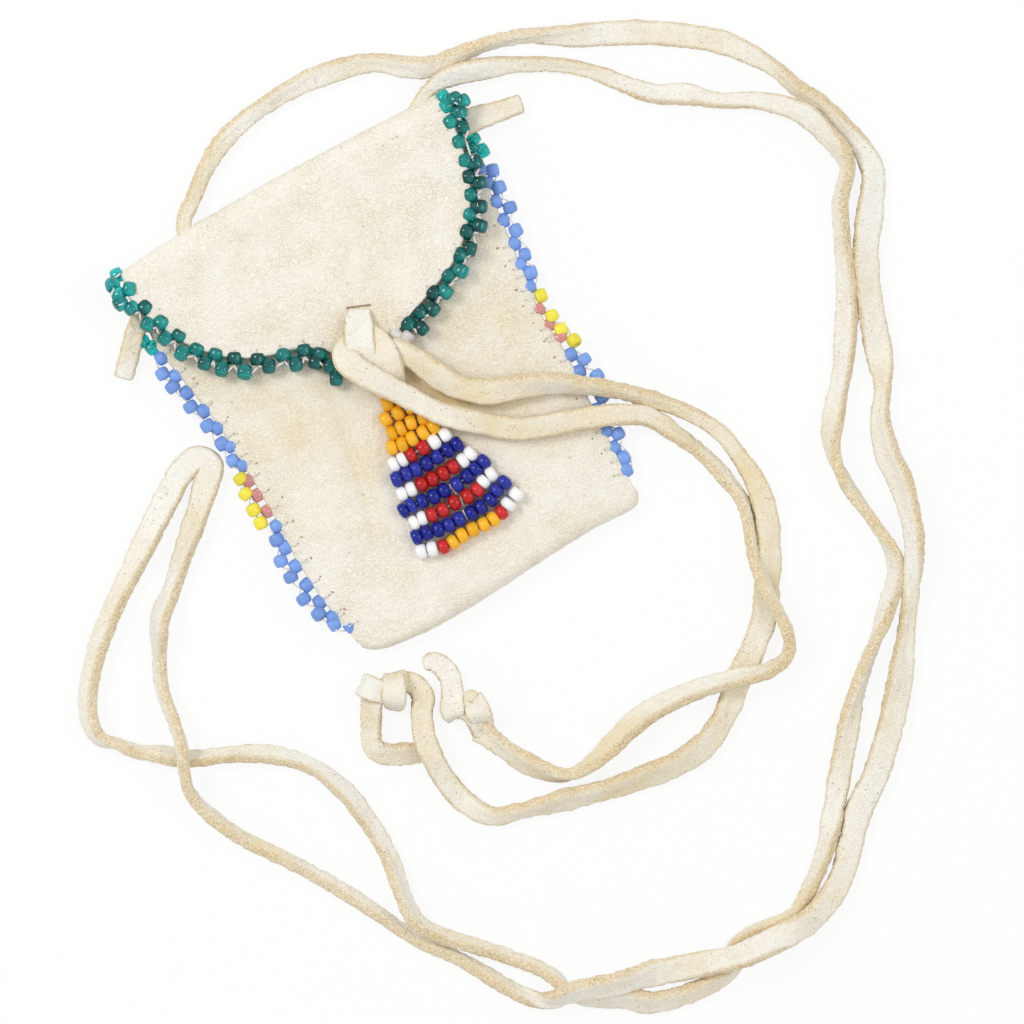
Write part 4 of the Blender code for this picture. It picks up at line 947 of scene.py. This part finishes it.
# Bead triangle: each bead's middle in a close view of the photograph
TRIANGLE = (
    ("YY", ((130, 215), (222, 165))),
    ("YYY", ((118, 345), (220, 292), (315, 240))),
    ("YYYY", ((168, 460), (243, 420), (325, 372), (425, 335))),
    ("YYYYY", ((168, 578), (255, 550), (335, 505), (428, 455), (510, 405))),
    ("WWRRWW", ((185, 715), (255, 675), (328, 635), (425, 580), (515, 530), (605, 470))),
    ("BBBBBBB", ((207, 838), (290, 795), (370, 755), (455, 708), (543, 655), (627, 600), (705, 550))),
    ("WWRRRRWW", ((250, 960), (328, 920), (415, 878), (500, 835), (590, 788), (672, 735), (752, 683), (815, 625))),
    ("BBBBBBBBB", ((262, 1095), (330, 1053), (418, 1018), (512, 980), (597, 930), (705, 880), (787, 815), (858, 752),
                   (925, 690))),
    ("WWRRRRRWW", ((350, 1195), (418, 1158), (500, 1128), (588, 1090), (682, 1030), (790, 978), (870, 925), (920, 855),
                   (985, 795))),
    ("BBBBBBBBBB", ((370, 1312), (455, 1278), (550, 1250), (638, 1213), (722, 1165), (822, 1115), (900, 1065),
                    (980, 1005), (1030, 930), (1095, 862))),
    ("WWRYYYYYRWW", ((410, 1430), (500, 1410), (592, 1392), (672, 1355), (745, 1300), (832, 1250), (925, 1208),
                     (1003, 1165), (1070, 1110), (1125, 1040), (1190, 960))),
)
ROW_NAMES = {"B": "blue", "R": "red", "W": "white", "Y": "orange"}
for number, (row, spots) in enumerate(TRIANGLE, 1):
    flat = np.array([at(372 + x / 8.25, 378 + y / 8.25) for x, y in spots])
    sizes = [2.7 * rng.uniform(0.96, 1.04) for _ in row]
    centres = np.array([(x, y, skin_top(x, y) + d / 2 - 0.1) for (x, y), d in zip(flat, sizes)])
    tangent = unit(np.gradient(centres, axis=0))
    begin = group = 0
    while begin < len(row):
        end = begin
        while end < len(row) and row[end] == row[begin]:
            end += 1
        group += 1
        colour = row[begin]
        pile = Pile()
        for i in range(begin, end):
            gaps = [np.linalg.norm(centres[i] - centres[j]) for j in (i - 1, i + 1) if 0 <= j < len(row)]
            long = min(min(gaps), 2.05) * rng.uniform(0.96, 1.0)
            pile.add(*bead(centres[i], tangent[i] + rng.normal(0, 0.06, 3), long, sizes[i], rng.uniform(0, 1), 22, 0.84),
                     rng.uniform(0, 1))
        base = f"row_{number:02d}_{ROW_NAMES[colour]}_{group}"
        piece = pile.made("triangle_beads_" + base[4:], GLASS[colour])
        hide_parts("triangle_" + base)
        begin = end
    ends = [centres[0] - tangent[0] * 0.95 - np.array((0, 0, 1.1)), centres[-1] + tangent[-1] * 0.95 - np.array((0, 0, 1.1))]
    threads.add(*tube(np.vstack((ends[0], centres, ends[1])), 0.16, 6))
for x, y in (((640, 880), (700, 960)), ((730, 985), (755, 1060)), ((750, 1090), (790, 1170)), ((860, 1200), (905, 1300))):
    a, b = at(372 + x[0] / 8.25, 378 + x[1] / 8.25), at(372 + y[0] / 8.25, 378 + y[1] / 8.25)
    za, zb = skin_top(*a) + 1.5, skin_top(*b) + 1.2
    threads.add(*tube([(*a, za), (*((a + b) / 2), (za + zb) / 2 + 0.2), (*b, zb)], 0.16, 6))

# Stitches of the side seams
SEAM_LEFT = ((195, 378), (229, 417), (238, 434), (258, 463), (270, 479), (283, 497), (294, 521), (303, 537), (312, 558),
             (321, 576), (333, 592), (345, 609), (358, 621))
SEAM_RIGHT = ((497, 249), (505, 267), (516, 291), (523, 307), (533, 324), (544, 342), (554, 358), (576, 399), (592, 439),
              (601, 454), (614, 476))
for side, spots in (("left", SEAM_LEFT), ("right", SEAM_RIGHT)):
    line = edge_line(side, "side")
    for spot in spots:
        p = at(*spot)
        i = int(np.argmin(np.hypot(line[:, 0] - p[0], line[:, 1] - p[1])))
        toward = unit(np.append(line[i, :2] - p, 0.0))
        turn = rng.uniform(-0.5, 0.5)
        toward = np.array((toward[0] * math.cos(turn) - toward[1] * math.sin(turn),
                           toward[0] * math.sin(turn) + toward[1] * math.cos(turn), 0.0))
        reach = rng.uniform(0.25, 0.55)
        points = []
        for t in (-0.35, 0.1, 0.6, 1.0):
            q = p + toward[:2] * reach * t
            points.append((q[0], q[1], skin_top(*q) + (0.03 if 0 < t < 1 else -0.08)))
        stitches_and_slit_shade.add(*tube(points, 0.09, 5))
        cross = np.array((-toward[1], toward[0])) * rng.uniform(0.1, 0.25)
        q1, q2 = p - cross, p + cross
        stitches_and_slit_shade.add(*tube([(*q1, skin_top(*q1) + 0.02), (*q2, skin_top(*q2) + 0.02)], 0.09, 5))

# Tie: the strap out of the flap's slit and the band that folds behind it


def ribbon(name, spots, thick, tan_and_shade=0.2):
    """A short flat piece through photo places: rows (x, y, height of its middle, width, roll)."""
    flat = np.array([(*at(x, y), *rest) for x, y, *rest in spots])
    plan = curve_through(flat, 0.4)
    return strip(name, plan[:, :3], plan[:, 4], plan[:, 3], thick, LACE, tan_and_shade=tan_and_shade)


deck = flap_top(*at(360, 309))
strap = ribbon("tie_strap", ((360, 312.8, deck + 0.1, 3.7, 0), (360, 315, deck + 0.8, 3.9, 0),
                             (359.8, 320, deck + 1.3, 4.5, -2), (360, 331, deck + 1.8, 4.8, -3),
                             (360.5, 343, deck + 2.1, 4.9, -4), (363, 356, deck + 1.9, 4.8, -4),
                             (367, 368, deck + 1.0, 4.4, -5)), 1.3, 0.0)
band = ribbon("tie_band", ((370, 330, deck + 0.7, 2.4, 6), (376, 339, deck + 1.3, 3.9, 6),
                           (383, 350, deck + 1.7, 4.6, 8), (388, 362, deck + 1.7, 4.9, 10),
                           (392, 376, deck + 0.9, 4.6, 10), (395, 385, deck - 0.2, 4.0, 10)), 1.3, 0.5)
slit_ends = [(*at(x, y), flap_top(*at(x, y)) + 0.08) for x, y in ((347.2, 309.2), (358, 307.6), (371.5, 306.0))]
for piece in (strap, band):
    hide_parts("tie_knot")

# Overhand knots at the tails' ends
KNOT_1 = (
    ("knot_1_end", ((372, 700, 2.3, 3.6, 10), (371.5, 712, 1.8, 3.7, 20), (371.5, 728, 1.6, 3.7, 35),
                    (372, 742, 1.5, 3.7, 35), (379, 752, 1.5, 4.0, 35), (392, 754.5, 1.4, 4.0, 38),
                    (408, 753.5, 1.3, 4.0, 40), (420, 752.5, 1.2, 3.9, 40)), 1.6, 0.5),
    ("knot_1_core", ((407, 679, 2.0, 3.2, 0), (396, 682, 2.2, 3.4, 0), (384, 688, 2.3, 3.4, 0),
                     (373, 694, 2.2, 3.4, 0)), 1.8, 0.6),
    ("knot_1_turn_1", ((393.5, 675, 1.4, 3.5, 0), (394, 680, 3.3, 3.9, 0), (394.5, 691, 4.2, 4.1, 0),
                       (394.5, 701, 3.4, 4.0, 0), (394, 706, 1.4, 3.2, 0)), 1.5, 0.35),
    ("knot_1_turn_2", ((389, 696, 2.3, 3.0, 0), (381, 692.5, 3.4, 3.6, 0), (373, 689, 3.9, 4.1, 0),
                       (366, 686, 3.1, 4.2, 0), (362.5, 684.5, 1.5, 3.8, 0)), 1.5, 0.05),
)
KNOT_2 = (
    ("knot_2_end", ((453, 706, 2.4, 3.7, 0), (452.5, 697, 2.2, 3.8, 0), (452, 687, 1.9, 3.7, 0),
                    (449, 675, 1.5, 3.7, 0), (442, 666, 1.2, 3.6, 0), (432, 662, 1.1, 3.2, 0),
                    (425, 664, 1.0, 2.2, 0)), 1.5, 0.05),
    ("knot_2_core", ((483, 732, 1.5, 3.6, 20), (476, 719, 2.2, 3.6, 0), (468, 711, 2.4, 3.4, 0),
                     (456, 708, 2.2, 3.2, 0)), 1.7, 0.4),
    ("knot_2_lump", ((465, 698, 2.2, 1.7, 0), (471, 695.5, 2.9, 2.0, 0), (478, 700, 2.2, 1.8, 0)), 1.5, 0.9),
    ("knot_2_turn_1", ((474, 702, 1.7, 3.6, 0), (475.5, 705, 3.5, 4.1, 0), (478, 711, 4.2, 4.3, 0),
                       (480.5, 718, 3.3, 4.2, 0), (482, 722, 1.6, 3.6, 0)), 1.5, 0.35),
    ("knot_2_turn_2", ((452, 700, 1.6, 3.6, 0), (452, 703, 2.7, 4.0, 0), (452.5, 710, 3.5, 4.2, 0),
                       (454, 715, 2.8, 3.8, 0), (455, 717.5, 1.3, 2.8, 0)), 1.5, 0.15),
)
knot_1 = [ribbon(*row) for row in KNOT_1]
knot_2 = [ribbon(*row) for row in KNOT_2]
for pieces, node in ((knot_1, "tail_knot_upper"), (knot_2, "tail_knot_lower")):
    for piece in pieces:
        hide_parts(node)

# A dark line along the flap's slit: painted shade in the cut, kept with the stitch marks.
stitches_and_slit_shade.add(*tube(curve_through(slit_ends, 0.4), 0.17, 6))
thread_piece = threads.made("sewing_thread", THREAD)
stitch_and_slit_shade_piece = stitches_and_slit_shade.made("stitch_marks_and_slit_shade", BROWN)

# Floor, lights and view

floor_mesh = bpy.data.meshes.new("floor")
floor_mesh.from_pydata([(-3, -3, 0), (3, -3, 0), (3, 3, 0), (-3, 3, 0)], [], [(0, 1, 2, 3)])
floor = bpy.data.objects.new("floor", floor_mesh)
floor.location.z = -0.00005
scene.collection.objects.link(floor)
floor_material, tree, shader = new_material("floor", 1.0, Base_Color=(0.93, 0.93, 0.93, 1.0))
shader.inputs["Specular IOR Level"].default_value = 0.0
path_node = put(tree, "ShaderNodeLightPath")
glow = put(tree, "ShaderNodeEmission", {"Color": (1.0, 1.0, 1.0, 1.0), "Strength": 1.0})
seen = maths(tree, "MAXIMUM", path_node.outputs["Is Camera Ray"], path_node.outputs["Is Glossy Ray"])
seen = maths(tree, "MAXIMUM", seen, path_node.outputs["Is Transmission Ray"])
blend = put(tree, "ShaderNodeMixShader", {0: maths(tree, "MULTIPLY", seen, 0.88), 1: shader.outputs[0],
                                          2: glow.outputs[0]})
tree.links.new(blend.outputs[0], tree.nodes["Material Output"].inputs["Surface"])
floor_mesh.materials.append(floor_material)

world = bpy.data.worlds.new("world")
scene.world = world
world.use_nodes = True
background = world.node_tree.nodes["Background"]
background.inputs["Color"].default_value = (1.0, 1.0, 1.0, 1.0)
background.inputs["Strength"].default_value = 0.65


def lamp(name, place_at, target, size, power):
    data = bpy.data.lights.new(name, "AREA")
    data.shape = "DISK"
    data.size = size
    data.energy = power
    obj = bpy.data.objects.new(name, data)
    obj.location = place_at
    direction = Vector(target) - Vector(place_at)
    obj.rotation_euler = direction.to_track_quat("-Z", "Y").to_euler()
    scene.collection.objects.link(obj)


lamp("key", (-0.35, 0.55, 0.80), (0, -0.02, 0), 0.35, 3.7)
lamp("fill", (0.60, -0.30, 0.90), (0, -0.02, 0), 0.60, 2.2)

scene.view_settings.view_transform = "Standard"
